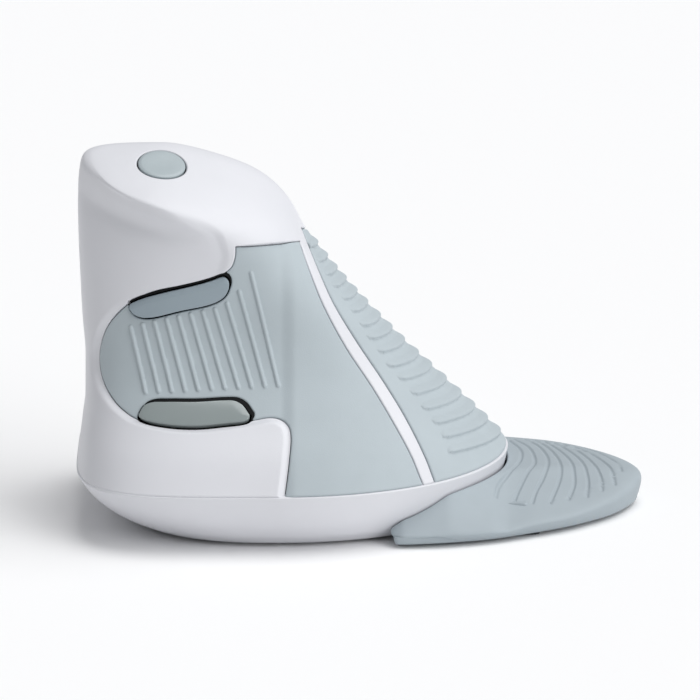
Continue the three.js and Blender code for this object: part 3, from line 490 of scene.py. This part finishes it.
def thumb_plane(p):
    """Place across and up the thumb side."""
    return p[:, 0], (p[:, 1] + THUMB_EDGE_Y) * SIN_E + p[:, 2] * COS_E


def finger_plane(p):
    """Place across and up the leaning finger side."""
    return p[:, 0], ((p[:, 2] - FINGER_ORIGIN[2]) * math.cos(LEAN)
                     - (p[:, 1] - FINGER_ORIGIN[1]) * math.sin(LEAN))


def on_thumb_side(outline, far=SIDES_MEET_Y):
    """Distance inside an outline drawn on the thumb side."""
    def distance(p):
        x, q = thumb_plane(p)
        return np.where(p[:, 1] < far, outline_distance(outline, x, q), ELSEWHERE)
    return distance


def on_finger_side(outline):
    """Distance inside an outline drawn on the finger side."""
    def distance(p):
        x, s = finger_plane(p)
        return np.where(p[:, 1] > SIDES_MEET_Y, outline_distance(outline, x, s), ELSEWHERE)
    return distance


def from_top_centre(p):
    """Distance from the axis of the round button, kept large well below the top face."""
    d = p - TOP_CENTRE
    along = d @ TOP_OUT
    return np.linalg.norm(d - along[:, None] * TOP_OUT, axis=1) + 5 * (along < -8)


def cap_outline(cap):
    return catmull(cap, True, 5)


def opening(cap, edge, shift):
    """The hole round a button: an even gap, wider on the side that shift points to."""
    outline = cap_outline(cap)
    moved = on_thumb_side([(x + shift[0], q + shift[1]) for x, q in outline])
    even = on_thumb_side(outline)
    return lambda p: np.maximum(even(p), moved(p)) + edge


def opposite(*functions, gap=0.0):
    """Region outside all of these regions."""
    def region(p):
        return np.minimum.reduce([-f(p) - gap for f in functions])
    return region


def edge_levels(radius):
    """Distances from an edge at which its rounding is cut into steps."""
    return [radius * k for k in (0, 0.07, 0.28, 0.6, 1)]


PALM_FAR_SIDE = [(60, 5), (60, 63.4), (-11.5, 63.4)]
thumb = on_thumb_side([*catmull(THUMB_LOBE, False, 5), *catmull(STRIPE_LEFT, False, 4)])
palm = on_thumb_side([*catmull(STRIPE_RIGHT[::-1], False, 4)[::-1], *PALM_FAR_SIDE], 90)
upper_cap = on_thumb_side(cap_outline(UPPER_CAP))
lower_cap = on_thumb_side(cap_outline(LOWER_CAP))
upper_opening = opening(UPPER_CAP, 0.27, (0.25, 0.35))
upper_gap = opening(UPPER_CAP, 0.27, (0.25, 0.7))
lower_opening = opening(LOWER_CAP, 0.4, (0.55, 0.5))

MAIN_CORNER = 2.6
index = on_finger_side(rounded(INDEX_BUTTON, MAIN_CORNER))
middle = on_finger_side(rounded(MIDDLE_BUTTON, MAIN_CORNER))
WHEEL_X, WHEEL_RADIUS, WHEEL_WIDTH, WHEEL_DEPTH = -38.0, 11.0, 6.0, 8.0
SLOT_HALF_LENGTH, SLOT_HALF_WIDTH = WHEEL_RADIUS + 1, 4.1
wheel_slot = on_finger_side(rounded([(WHEEL_X + i * SLOT_HALF_LENGTH, j * SLOT_HALF_WIDTH)
                                     for i, j in ((-1, -1), (1, -1), (1, 1), (-1, 1))], 4))

BODY = lofted(SHELL, SEAM_Z, TOP_Z)
BASE = lofted(HULL, FLOOR_Z, SEAM_Z)
BODY_GRID = grid(380, 190)
FINE_GRID = grid(520, 260)
CAP_GRID = grid(900, 420)

# ------------------------------------------------------------------ white shell
SHELL_EDGE, SHELL_WALL = 0.3, 1.8
LOBE_SEAM, PALM_SEAM = 0.04, 0.08
DPI_RADIUS, DPI_HOLE = 4.7, 5.0
shell_cuts = opposite(upper_opening, lower_opening, index, middle, wheel_slot, gap=0.18)


def shell_region(p, n):
    """The shell, less the grips, the buttons and the wheel slot."""
    return np.minimum.reduce([-thumb(p) - LOBE_SEAM, -palm(p) - PALM_SEAM, shell_cuts(p),
                              from_top_centre(p) - DPI_HOLE, (p[:, 2] - 12.12) * 1.1])


SCOOP_EDGE = [(-45.6, 70.8), (-38.4, 67.8), (-33, 65.8), (-28.9, 64), (-26.9, 62.2), (-25.9, 59.6),
              (-25.4, 57.2), (-26.2, 54.6), (-27.5, 50)]
SCOOP = catmull(SCOOP_EDGE, False, 5) + [(-60, 40), (-60, 76)]
SCOOP_DEPTH, SCOOP_RAMP = 0.42, 2.0
LIP, LIP_DROP = 1.5, 0.8        # width and depth of the lip round the lobe of the thumb grip
PANEL_DROP = 0.6                # how far the thumb grip lies below the shell in its lobe


def near_lobe(p):
    """1 where the thumb grip lies in its round lobe, fading to 0 along the ridge stripe."""
    return ease((-12.5 - p[:, 0]) / 3.0)


def scoop(p, n=None):
    """Distance inside the hollow above the thumb."""
    return on_thumb_side(SCOOP)(p)


def from_lobe(p, n=None):
    """Distance from the edge of the thumb grip."""
    return -thumb(p) - LOBE_SEAM


def shell_lift(p, n, g):
    """Rounded edges, the lip round the lobe and the hollow above the thumb."""
    x, q = thumb_plane(p)
    hollow = ease(scoop(p) / SCOOP_RAMP) * ease(1.15 - np.hypot((x + 27) / 17, (q - 58) / 14))
    lip = LIP_DROP * ease(1 - from_lobe(p) / LIP) * near_lobe(p)
    lip = lip * ease((50 - q) / 8)
    return -np.maximum(round_edge(g, SHELL_EDGE), lip) - SCOOP_DEPTH * hollow


skin("v_front_shell", BODY, BODY_GRID, shell_region, edge_levels(SHELL_EDGE), shell_lift,
     SHELL_WALL, WHITE, "frame", ["front_shell"], back=False,
     extra=[(from_lobe, (0.1, 0.4, 0.75, 1.1, 1.5)), (scoop, (0, 0.5, 1, 1.5, 2))])


# ------------------------------------------------------------------ thumb grip
GRIP_GAP, GRIP_FOOT, GRIP_WALL = 0.1, 12.2, 1.0
THUMB_EDGE, THUMB_RIB_HEIGHT, THUMB_RIB_HALF = 0.3, 0.42, 0.48


def thumb_ribs(p, n=None):
    """Distance to the nearest upright rib."""
    x, q = thumb_plane(p)
    return np.minimum.reduce([bar_distance(a, b, x, q) for a, b in THUMB_RIBS])


def swell(d, half, power=1.5):
    """Height share of a rounded rib at distance d from its middle."""
    t = np.clip(d / half, 0, 1)
    return (1 - t * t) ** power


def thumb_region(p, n):
    """The grip inside the lobe, less the openings of the thumb buttons."""
    return np.minimum.reduce([thumb(p) - GRIP_GAP, -upper_gap(p), -lower_opening(p),
                              p[:, 2] - GRIP_FOOT])


def thumb_lift(p, n, g):
    """Rounded edges and ribs, all lying lower inside the lobe."""
    ribs = THUMB_RIB_HEIGHT * swell(thumb_ribs(p), THUMB_RIB_HALF, 0.8)
    return ribs - round_edge(g, THUMB_EDGE) - PANEL_DROP * near_lobe(p)


skin("v_thumb_grip", BODY, FINE_GRID, thumb_region, edge_levels(THUMB_EDGE), thumb_lift, GRIP_WALL,
     GREY, "frame", ["thumb_grip"],
     extra=[(thumb_ribs, (THUMB_RIB_HALF, 0.42, 0.3, 0.14))])


# ------------------------------------------------------------------ palm grip
PALM_EDGE, PALM_RIB_HEIGHT, RIB_SLOPE = 0.35, 0.55, 0.1
RIB_PLACES = [(-9.4, 60.2), (-7.7, 57.3), *PALM_RIB_ENDS]


def rib_levels():
    """Height of each palm rib where it starts on the thumb side, taken on the body surface."""
    u, v = np.meshgrid(np.linspace(0.5, 1, 500), np.linspace(0, 1, 500))
    p, _ = BODY.at(np.stack([u.ravel(), v.ravel()], axis=1))
    p = p[p[:, 1] < 4]
    x, q = thumb_plane(p)
    out = []
    for ex, eq in RIB_PLACES:
        k = np.argmin((x - ex) ** 2 + (q - eq) ** 2)
        out.append(p[k, 2] + RIB_SLOPE * p[k, 1])
    return np.array(out)


RIB_HEIGHTS = rib_levels()
# Section of a palm rib: distance below its middle and share of its height.
RIB_SECTION = np.array([(-0.95, 0), (-0.8, 0.14), (-0.62, 0.36), (-0.4, 0.52), (0.05, 0.86),
                        (0.22, 0.97), (0.36, 1.0), (0.48, 0.9), (0.58, 0.62), (0.66, 0.22),
                        (0.7, 0)])


def palm_rib_height(p, n=None):
    """Share of full height of a rib: a step and a gentle rise, then a short fall below it."""
    level = p[:, 2] + RIB_SLOPE * p[:, 1]
    k = np.abs(level[:, None] - RIB_HEIGHTS[None]).argmin(1)
    below = RIB_HEIGHTS[k] - level
    x, q = thumb_plane(p)
    ends = np.array(RIB_PLACES)[::-1]
    past = np.clip(np.interp(q, ends[:, 1], ends[:, 0]) - x, 0, 9)
    height = np.interp(below * (1 + 0.9 * past), RIB_SECTION[:, 0], RIB_SECTION[:, 1])
    return height * np.sqrt(np.clip(1 - (past / 0.9) ** 2, 0, 1))


def palm_region(p, n):
    return np.minimum(palm(p) - GRIP_GAP, p[:, 2] - GRIP_FOOT)


skin("v_palm_grip", BODY, FINE_GRID, palm_region, edge_levels(PALM_EDGE),
     lambda p, n, g: PALM_RIB_HEIGHT * palm_rib_height(p) - round_edge(g, PALM_EDGE), GRIP_WALL,
     GREY, "frame", ["palm_grip"],
     extra=[(palm_rib_height, (0.03, 0.2, 0.5, 0.8, 0.96))])

# ------------------------------------------------------------------ buttons
CAP_DEPTH, CAP_PROUD = 1.1, 0.12
BEVEL_WIDTH, BEVEL_DROP = 1.25, 0.75
CROWN_WIDTH, CROWN_DROP = 2.2, 0.16
DISH_RIM = 0.55
RIM_CLEARANCE, RIM_OVERLAP, RIM_DEPTH = 0.34, 0.14, 1.6
MAIN_GAP, MAIN_EDGE, MAIN_WALL = 0.14, 0.3, 0.9


def button(name, distance, lift, radius, look, body, node):
    """A cap cut out of the body surface."""
    skin(name, BODY, CAP_GRID, lambda p, n: distance(p), edge_levels(radius),
         lambda p, n, g: lift(p, g) - round_edge(g, radius), CAP_DEPTH, look, body, [node],
         extra=[(lambda p, n: distance(p), (0.8, 1.1, 1.4))])


def upper_lift(p, g):
    """A flat face with a broad bevel along its upper edge."""
    x, q = thumb_plane(p)
    edge = np.array(UPPER_TOP_EDGE)
    below = (np.interp(x, edge[:, 0], edge[:, 1]) - q) * 0.97
    return CAP_PROUD - BEVEL_DROP * np.clip(1 - below / BEVEL_WIDTH, 0, 1)


def lower_lift(p, g):
    """A nearly flat glossy face, slightly crowned."""
    return CAP_PROUD - CROWN_DROP * np.clip(1 - g / CROWN_WIDTH, 0, 1) ** 2


def dpi_lift(p, g):
    """Shallow dish with a bevelled rim."""
    return 0.22 - 0.16 * np.clip(1 - g / DISH_RIM, 0, 1) - 0.12 * ease((g - DISH_RIM) / 3.5)


button("v_upper_side_button", upper_cap, upper_lift, 0.2, UPPER_GREY, "upper_side",
       "upper_side_button")
button("v_lower_side_button", lower_cap, lower_lift, 0.2, LOWER_GREY, "lower_side",
       "lower_side_button")
button("v_dpi_button", lambda p: DPI_RADIUS - from_top_centre(p), dpi_lift, 0.15, DPI_GREY,
       "dpi", "dpi_button")


def well_rim(name, cap, hole):
    """Black liner seen in the gap between a thumb button and the parts round it."""
    skin(name, BODY, CAP_GRID,
         lambda p, n: np.minimum(-cap(p) - RIM_CLEARANCE, hole(p) + RIM_OVERLAP), [0],
         lambda p, n, g: np.full(len(p), -0.5) - 0.3 * near_lobe(p), RIM_DEPTH, BLACK, "frame", [])


well_rim("v_upper_button_rim", upper_cap, upper_gap)
well_rim("v_lower_button_rim", lower_cap, lower_opening)


def main_button(name, distance, body, node):
    """A main button of the finger side."""
    skin(name, BODY, BODY_GRID, lambda p, n: distance(p) - MAIN_GAP, edge_levels(MAIN_EDGE),
         lambda p, n, g: -round_edge(g, MAIN_EDGE), MAIN_WALL, WHITE, body, [node])


main_button("v_index_button", index, "index", "index_button")
main_button("v_middle_button", middle, "middle", "middle_button")

# ------------------------------------------------------------------ hull
HULL_GRID = grid(380, 30)
HULL_EDGE, HULL_FOOT_EDGE, HULL_WALL, HULL_TOP = 0.3, 0.4, 1.4, 11.88
FLOOR_EDGE, FLOOR_WALL = 0.15, 1.3
TONGUE_Y = [-13.0, -4.0]
TONGUE_X, TONGUE_Z, TONGUE_HALF_WIDTH = (20.2, 33.5), (3.5, 5.7), 2.7
SLOT_MIDDLE_Z, SLOT_HALF_Y, SLOT_HALF_Z = 4.6, 3.1, 1.5
# Openings of the floor: front, rear, thumb side, finger side and corner radius of each rectangle,
# then x, y and radius of each round hole.
FLOOR_PADS = [(-33, 20.6, 1.4, 16.6, 2.0), (-40.2, -33.4, -7.9, -3.1, 1.0),
              (-44.3, -39.7, -3.3, 12.3, 2.0), (-24.3, -3.7, -22.9, -18.5, 2.0),
              (-24.3, -3.7, 19.1, 23.5, 2.0), (10.7, 15.3, -11.3, -0.7, 2.0)]
FLOOR_HOLES = [(-18, -12, 3.2), (-30, -20.5, 2.5), (2, -19, 2.5), (3, 20.5, 2.5), (-36, 19, 2.5)]


def pad_distance(p, x0, x1, y0, y1, radius):
    """Distance outside a rectangle with rounded corners."""
    dx = np.abs(p[:, 0] - (x0 + x1) / 2) - ((x1 - x0) / 2 - radius)
    dy = np.abs(p[:, 1] - (y0 + y1) / 2) - ((y1 - y0) / 2 - radius)
    outside = np.hypot(np.maximum(dx, 0), np.maximum(dy, 0))
    return outside + np.minimum(np.maximum(dx, dy), 0) - radius


def floor_region(p, n):
    """Floor of the hull, less the door, the switch, the lens, the feet and the screw holes."""
    holes = [pad_distance(p, *pad) for pad in FLOOR_PADS]
    holes += [np.hypot(p[:, 0] - x, p[:, 1] - y) - r for x, y, r in FLOOR_HOLES]
    return np.minimum.reduce(holes)


def floor_table():
    """Flat rings from the middle of the floor to its edge."""
    outline = ring_points(sections(HULL, [FLOOR_Z])[0], FLOOR_Z, 900)
    centre = np.array([-10, 0, FLOOR_Z])
    d = outline - centre
    edge = centre + d * (1 - HULL_FOOT_EDGE / np.linalg.norm(d, axis=1))[:, None]
    return Table([centre + (edge - centre) * k for k in np.linspace(0.002, 1, 100)])


def slot_region(p):
    """Distance outside the two slots that take the tongues of the palm rest."""
    slots = [np.maximum(np.abs(p[:, 1] - y) - SLOT_HALF_Y,
                        np.abs(p[:, 2] - SLOT_MIDDLE_Z) - SLOT_HALF_Z) for y in TONGUE_Y]
    return np.where(p[:, 0] > 15, np.minimum.reduce(slots), 9)


def hull_lift(p, n, g):
    return -round_edge(g, HULL_EDGE) - round_edge(p[:, 2] - FLOOR_Z, HULL_FOOT_EDGE)


skin("v_hull", BASE, HULL_GRID, lambda p, n: np.minimum(HULL_TOP - p[:, 2], slot_region(p)),
     edge_levels(HULL_EDGE), hull_lift, HULL_WALL, WHITE, "frame", ["hull"],
     extra=[(lambda p, n: p[:, 2] - FLOOR_Z, (0.05, 0.15, HULL_FOOT_EDGE))])
skin("v_hull_floor", floor_table(), grid(420, 150), floor_region, edge_levels(FLOOR_EDGE),
     lambda p, n, g: -round_edge(g, FLOOR_EDGE), FLOOR_WALL, WHITE, "frame", [])

# ------------------------------------------------------------------ palm rest
REST_SPLIT = 2.4                # height of the seam between cover and plate
REST_GAP = 0.38                 # clearance to the hull
COVER_EDGE, COVER_WALL = 0.3, 1.6
PLATE_EDGE, PLATE_WALL, PLATE_BOTTOM, PLATE_TOP = 0.2, 0.5, 0.7, 2.32
GROOVE_HALF, GROOVE_DEPTH, NO_GROOVE = 0.5, 0.3, 9.0
# Outline of the palm rest from above, starting at the tip on the thumb side.
REST_OUTLINE = [(6.7, -28.8), (8, -29.1), (11, -28.9), (17, -28), (26, -25.6), (34, -21.6),
                (41.6, -17), (47, -12.4), (51.6, -7.4), (55.2, -1), (56.95, 5), (56, 10),
                (52.4, 15.5), (47, 20), (40, 23.2), (34, 24), (28, 24.4), (22, 26.4), (17, 29),
                (13, 31), (10, 31.4), (8, 29.4), (9, 20), (10, 0), (9, -12), (7, -19),
                (6.3, -24), (6.4, -27.4)]
REST_CENTRE = np.array([26.0, 0.0])
COVER_FOOT = 0.9
# Rim of the cover: inset from the outline and share of the full height.
COVER_RIM = [(1.5, 0.0), (1.15, 0.03), (0.85, 0.1), (0.5, 0.26), (0.2, 0.45), (0.03, 0.62),
             (0.02, 0.7), (0.12, 0.78), (0.36, 0.85), (0.8, 0.9), (1.6, 0.94), (2.8, 0.97),
             (4.2, 0.99), (6.0, 1.0)]
# Course of each groove from above, from the thumb side to the finger side.
GROOVES = [
    [(27.2, -15.3), (27.9, -11.3), (30.1, -4.8), (32.4, 3.6), (32.6, 12), (30.4, 18.2)],
    [(30.9, -14.4), (31.8, -10.5), (33.5, -4), (35.3, 2.4), (35.1, 9.9), (34, 15.1), (31.3, 19.6)],
    [(34.5, -14.3), (35.4, -9.6), (36.9, -4), (38, 2.5), (37.8, 9.3), (36, 16.4), (33.6, 20)],
    [(38.1, -13.3), (39.2, -8.6), (40.2, -3.6), (40.6, 1), (39.9, 8.6), (37.8, 16.2), (35.6, 20)],
    [(41.8, -10.9), (43, -5.5), (43.2, -1), (42.6, 6.6), (40.3, 14.2), (37.6, 19.6)],
    [(45.5, -9.1), (45.9, -4), (45.8, -0.5), (44.6, 7.9), (42.1, 14.7), (39.6, 19)],
    [(48.6, -6), (48.7, -3.1), (48.4, 0.1), (46.3, 9.1), (43.5, 15.9), (41.4, 18.9)],
    [(51.3, -3), (50.9, 2), (49.6, 7), (47.1, 12.8), (43.5, 17.9)],
    [(52.8, 3), (52.2, 7), (51, 10.5), (48.6, 14.8), (45.4, 18.6)],
]


def soft_max(v, blend=2.0):
    """max(0, v) with a rounded corner."""
    return 0.5 * (v + np.sqrt(v * v + blend * blend)) - 0.25 * blend * np.exp(-(v / blend) ** 2)


# Line where the top starts to fall towards the thumb side, and how steeply, along x.
REST_BROW = np.array([[5, 17, 22, 26, 30, 35, 45, 60],
                      [-20, -20, -16.5, -11, -4.5, -1, 3, 4]], float)
REST_STEEP = np.array([[5, 17, 22, 26, 35, 45, 60],
                       [0.78, 0.78, 0.62, 0.44, 0.27, 0.23, 0.18]])


def rest_top(x, y):
    """Level beside the hull, falling to the free end, the thumb side and the tip."""
    brow = pchip(REST_BROW[0], REST_BROW[1], np.clip(x, 5, 60))
    steep = pchip(REST_STEEP[0], REST_STEEP[1], np.clip(x, 5, 60))
    far_tip = 0.55 * soft_max(16.5 - x, 3.0) * ease((y + 12) / 8)
    return (9.6 - 0.085 * soft_max(x - 28) - steep * soft_max(brow - y, 2.5) - far_tip
            - 0.5 * soft_max(8.6 - x, 1.0))


def even_outline(points, count):
    """The smooth closed outline as evenly spaced points."""
    p = np.array(catmull(points, True, 24))
    p = np.vstack([p, p[:1]])
    along = np.append(0, np.cumsum(np.hypot(*np.diff(p, axis=0).T)))
    q = np.linspace(0, along[-1], count + 1)
    return np.stack([np.interp(q, along, p[:, 0]), np.interp(q, along, p[:, 1])], axis=1)


REST_LINE = even_outline(REST_OUTLINE, 900)


def rest_ring(inset, height, scale=1.0):
    """One ring of the palm rest, moved in and shrunk towards its centre."""
    d = REST_LINE - REST_CENTRE
    flat = REST_CENTRE + d * (scale * (1 - inset / np.linalg.norm(d, axis=1)))[:, None]
    return np.column_stack([flat, height(flat[:, 0], flat[:, 1])])


def rest_share(share):
    """Height at a share of the way up to the top."""
    return lambda x, y: COVER_FOOT + share * (rest_top(x, y) - COVER_FOOT)


def dense(pairs, steps):
    """More pairs along straight lines between the given ones."""
    a = np.array(pairs, float)
    t = np.arange(len(a))
    q = np.linspace(0, len(a) - 1, (len(a) - 1) * steps + 1)
    return np.column_stack([np.interp(q, t, a[:, 0]), np.interp(q, t, a[:, 1])])


def cover_table():
    """Rings up the rim of the cover and in over its top."""
    rings = [rest_ring(i, rest_share(s)) for i, s in dense(COVER_RIM, 3)]
    inset = COVER_RIM[-1][0]
    rings += [rest_ring(inset, rest_share(1.0), k) for k in np.linspace(1, 0.002, 120)[1:]]
    return Table(rings)


def hull_clearance(p):
    """Distance outside the rear of the hull, roughly."""
    rows = sections(HULL, np.clip(p[:, 2], FLOOR_Z, SEAM_Z))
    rear, near, far, cx, cy = rows[:, 1:6].T
    dx, dy = p[:, 0] - cx, p[:, 1] - cy
    power = np.where(dy < 0, rows[:, 7], rows[:, 8])
    a, b = rear - cx, np.where(dy < 0, cy - near, far - cy)
    r = (np.abs(dx / a) ** power + np.abs(dy / b) ** power) ** (1 / power)
    reach = np.hypot(dx, dy)
    return np.where(dx > 0, (r - 1) * reach / np.maximum(r, 0.2) * 0.92, -5)


def groove_distance(p, n=None):
    """Distance from the nearest groove of the cover."""
    best = np.full(len(p), NO_GROOVE)
    for line in GROOVES:
        smooth_line = catmull(line, False, 4)
        for a, b in zip(smooth_line[:-1], smooth_line[1:]):
            best = np.minimum(best, bar_distance(a, b, p[:, 0], p[:, 1]))
    return np.where(p[:, 2] > REST_SPLIT + 0.5, best, NO_GROOVE)


def cover_region(p, n):
    """The cover meets the plate in a line at the tip and hides it further out."""
    skirt = (REST_SPLIT - COVER_FOOT + 0.1) * ease((p[:, 0] - 15) / 6) - REST_SPLIT
    return np.minimum(hull_clearance(p) - REST_GAP, p[:, 2] + skirt)


def cover_lift(p, n, g):
    """Grooves and rounded edges."""
    return -GROOVE_DEPTH * swell(groove_distance(p), GROOVE_HALF) - round_edge(g, COVER_EDGE)


skin("v_palm_rest_cover", cover_table(), grid(420, 110), cover_region, edge_levels(COVER_EDGE),
     cover_lift, COVER_WALL, REST, "palm_rest", ["palm_rest_cover"],
     extra=[(groove_distance, (GROOVE_HALF, 0.34, 0.16))])

# Rim of the plate: inset from the outline and height.
PLATE_RIM = [(1.6, PLATE_BOTTOM), (1.25, 0.8), (1.0, 1.0), (0.9, 1.2), (0.8, 1.6), (0.72, 2.1),
             (0.74, 2.3)]


def level(z):
    return lambda x, y: np.full(len(x), z)


def plate_table():
    """Rings out over the bottom of the plate, up its rim and in again."""
    inset = PLATE_RIM[0][0]
    rings = [rest_ring(inset, level(PLATE_BOTTOM), k) for k in np.linspace(0.002, 1, 40)]
    rings += [rest_ring(i, level(z)) for i, z in dense(PLATE_RIM, 2)[1:]]
    rings += [rest_ring(1.1, level(PLATE_TOP), k) for k in (1.0, 0.6, 0.002)]
    return Table(rings)


skin("v_palm_rest_plate", plate_table(), grid(420, 60), lambda p, n: hull_clearance(p) - REST_GAP,
     edge_levels(PLATE_EDGE), lambda p, n, g: -round_edge(g, PLATE_EDGE), PLATE_WALL, REST,
     "palm_rest", ["palm_rest_plate"], back=False)


def slab(name, x, y, z, radius, bevel, look, body):
    """A flat bar with rounded corners and a small bevel, given its x, y and z ranges."""
    corners = [(x[0], y[0]), (x[1], y[0]), (x[1], y[1]), (x[0], y[1])]
    line = np.array(rounded(corners, radius))
    centre = line.mean(0)
    reach = np.linalg.norm(line - centre, axis=1)[:, None]
    inner = centre + (line - centre) * (1 - bevel / reach)
    rings = [(inner * 0 + centre, z[0]), (inner, z[0]), (line, z[0] + bevel),
             (line, z[1] - bevel), (inner, z[1]), (inner * 0 + centre, z[1])]
    points = np.concatenate([np.column_stack([r, np.full(len(r), h)]) for r, h in rings])
    m = len(line)
    i, j = np.arange(m), (np.arange(m) + 1) % m
    tris = []
    for k in range(len(rings) - 1):
        a, b = k * m, (k + 1) * m
        tris += [np.stack([a + i, a + j, b + j], 1), np.stack([a + i, b + j, b + i], 1)]
    points, _, tris = weld(points, points, np.concatenate(tris))
    add_mesh(name, points, tris, look, body, (), 30)


for k, tongue_y in enumerate(TONGUE_Y):
    slab(f"v_palm_rest_tongue_{k + 1}", TONGUE_X,
         (tongue_y - TONGUE_HALF_WIDTH, tongue_y + TONGUE_HALF_WIDTH), TONGUE_Z, 0.8, 0.3, REST,
         "palm_rest")


# ------------------------------------------------------------------ wheel
TREAD_DEPTH, TREAD_COUNT = 0.55, 30


def turned(profile, count, modulate=None):
    """A ring turned about the wheel axis. profile holds (radius, along the axis)."""
    profile = np.array(profile, float)
    angles = np.arange(count) * 2 * math.pi / count
    centre = FINGER_ORIGIN + FINGER_IN * WHEEL_DEPTH + np.array([WHEEL_X, 0, 0])
    points = []
    for r, s in profile:
        radius = r + (modulate(angles, r, s) if modulate else 0)
        points.append(centre + np.outer(radius * np.cos(angles), [1, 0, 0])
                      - np.outer(radius * np.sin(angles), FINGER_IN) + s * FINGER_UP)
    m = len(profile)
    tris = []
    i = np.arange(count)
    j = (i + 1) % count
    for k in range(m - 1):
        a, b = k * count, (k + 1) * count
        tris += [np.stack([a + i, b + j, b + i], 1), np.stack([a + i, a + j, b + j], 1)]
    return np.concatenate(points), np.concatenate(tris)


def tread(angles, r, s):
    """Cross grooves of the tyre, fading out at its shoulders."""
    deep = TREAD_DEPTH * ease((r - WHEEL_RADIUS + 0.8) / 0.6) * ease((2.7 - abs(s)) / 0.6)
    return -deep * (0.5 - 0.5 * np.cos(angles * TREAD_COUNT)) ** 3


TYRE_THICKNESS = 2.2
w, r = WHEEL_WIDTH / 2, WHEEL_RADIUS
tyre_profile = [(r - TYRE_THICKNESS, -w), (r - 0.8, -w), (r - 0.45, -w + 0.12),
                (r - 0.15, -w + 0.45), (r, -w + 0.9), (r, -w + 1.6), (r, 0), (r, w - 1.6),
                (r, w - 0.9), (r - 0.15, w - 0.45), (r - 0.45, w - 0.12), (r - 0.8, w),
                (r - TYRE_THICKNESS, w), (r - TYRE_THICKNESS, -w)]
points, tris = turned(tyre_profile, 360, tread)
add_mesh("v_wheel_tyre", points, tris, RUBBER, "wheel", ["wheel_tyre"], 40)
rim_r = r - 2.5
hub_half = [(0.01, 7.2), (1.2, 7.2), (1.2, 1.6), (3.4, 1.6), (4.2, 2.2), (rim_r - 1, 2.6),
            (rim_r - 0.2, 2.6), (rim_r, 2.4)]
hub_profile = [(q, -s) for q, s in hub_half] + hub_half[::-1]
points, tris = turned(hub_profile, 120)
add_mesh("v_wheel_hub", points, tris, HUB, "wheel", ["wheel_hub"], 35)


# ------------------------------------------------------------------ studio
FLOOR_HALF = 6.0                # metres
WORLD_STRENGTH = 0.35
# Name, direction towards the light, strength and width in degrees.
SUNS = [("top", (0.35, 0.1, 1.0), 1.92, 55), ("key", (0.95, -0.72, 0.5), 1.12, 45)]
CAMERA_AIM = (-0.0018, 0, 0.0331)
CAMERA_LENS, CAMERA_SENSOR, CAMERA_FRAME = 400, 36, 0.140


def studio():
    """A pale floor, an even pale surround and two soft lights."""
    floor = bpy.data.meshes.new("floor")
    size = FLOOR_HALF
    floor.from_pydata([(-size, -size, 0), (size, -size, 0), (size, size, 0), (-size, size, 0)], [],
                      [(0, 1, 2, 3)])
    mat = bpy.data.materials.new("pale_floor")
    mat.use_nodes = True
    shader = mat.node_tree.nodes["Principled BSDF"]
    shader.inputs["Base Color"].default_value = (0.94, 0.94, 0.943, 1)
    shader.inputs["Roughness"].default_value = 0.7
    shader.inputs["Specular IOR Level"].default_value = 0.1
    floor.materials.append(mat)
    obj = bpy.data.objects.new("floor", floor)
    bpy.context.scene.collection.objects.link(obj)

    world = bpy.data.worlds.new("studio")
    world.use_nodes = True
    world.node_tree.nodes["Background"].inputs["Color"].default_value = (0.97, 0.98, 1.0, 1)
    world.node_tree.nodes["Background"].inputs["Strength"].default_value = WORLD_STRENGTH
    bpy.context.scene.world = world
    for name, towards, strength, spread in SUNS:
        light = bpy.data.lights.new(name, "SUN")
        light.energy = strength
        light.angle = math.radians(spread)
        lamp = bpy.data.objects.new(name, light)
        lamp.location = Vector(towards)
        lamp.rotation_euler = (-Vector(towards)).to_track_quat("-Z", "Y").to_euler()
        bpy.context.scene.collection.objects.link(lamp)


def camera():
    """Long lens, level with the thumb side and 15 degrees above the desk."""
    aim = Vector(CAMERA_AIM)
    data = bpy.data.cameras.new("camera")
    data.lens, data.sensor_width = CAMERA_LENS, CAMERA_SENSOR
    cam = bpy.data.objects.new("camera", data)
    reach = CAMERA_FRAME * data.lens / data.sensor_width
    cam.location = aim + Vector((0, -math.cos(E), math.sin(E))) * reach
    cam.rotation_euler = (aim - cam.location).to_track_quat("-Z", "Y").to_euler()
    bpy.context.scene.collection.objects.link(cam)
    bpy.context.scene.camera = cam


dress_nodes()
studio()
camera()
bpy.context.scene.view_settings.view_transform = "Standard"
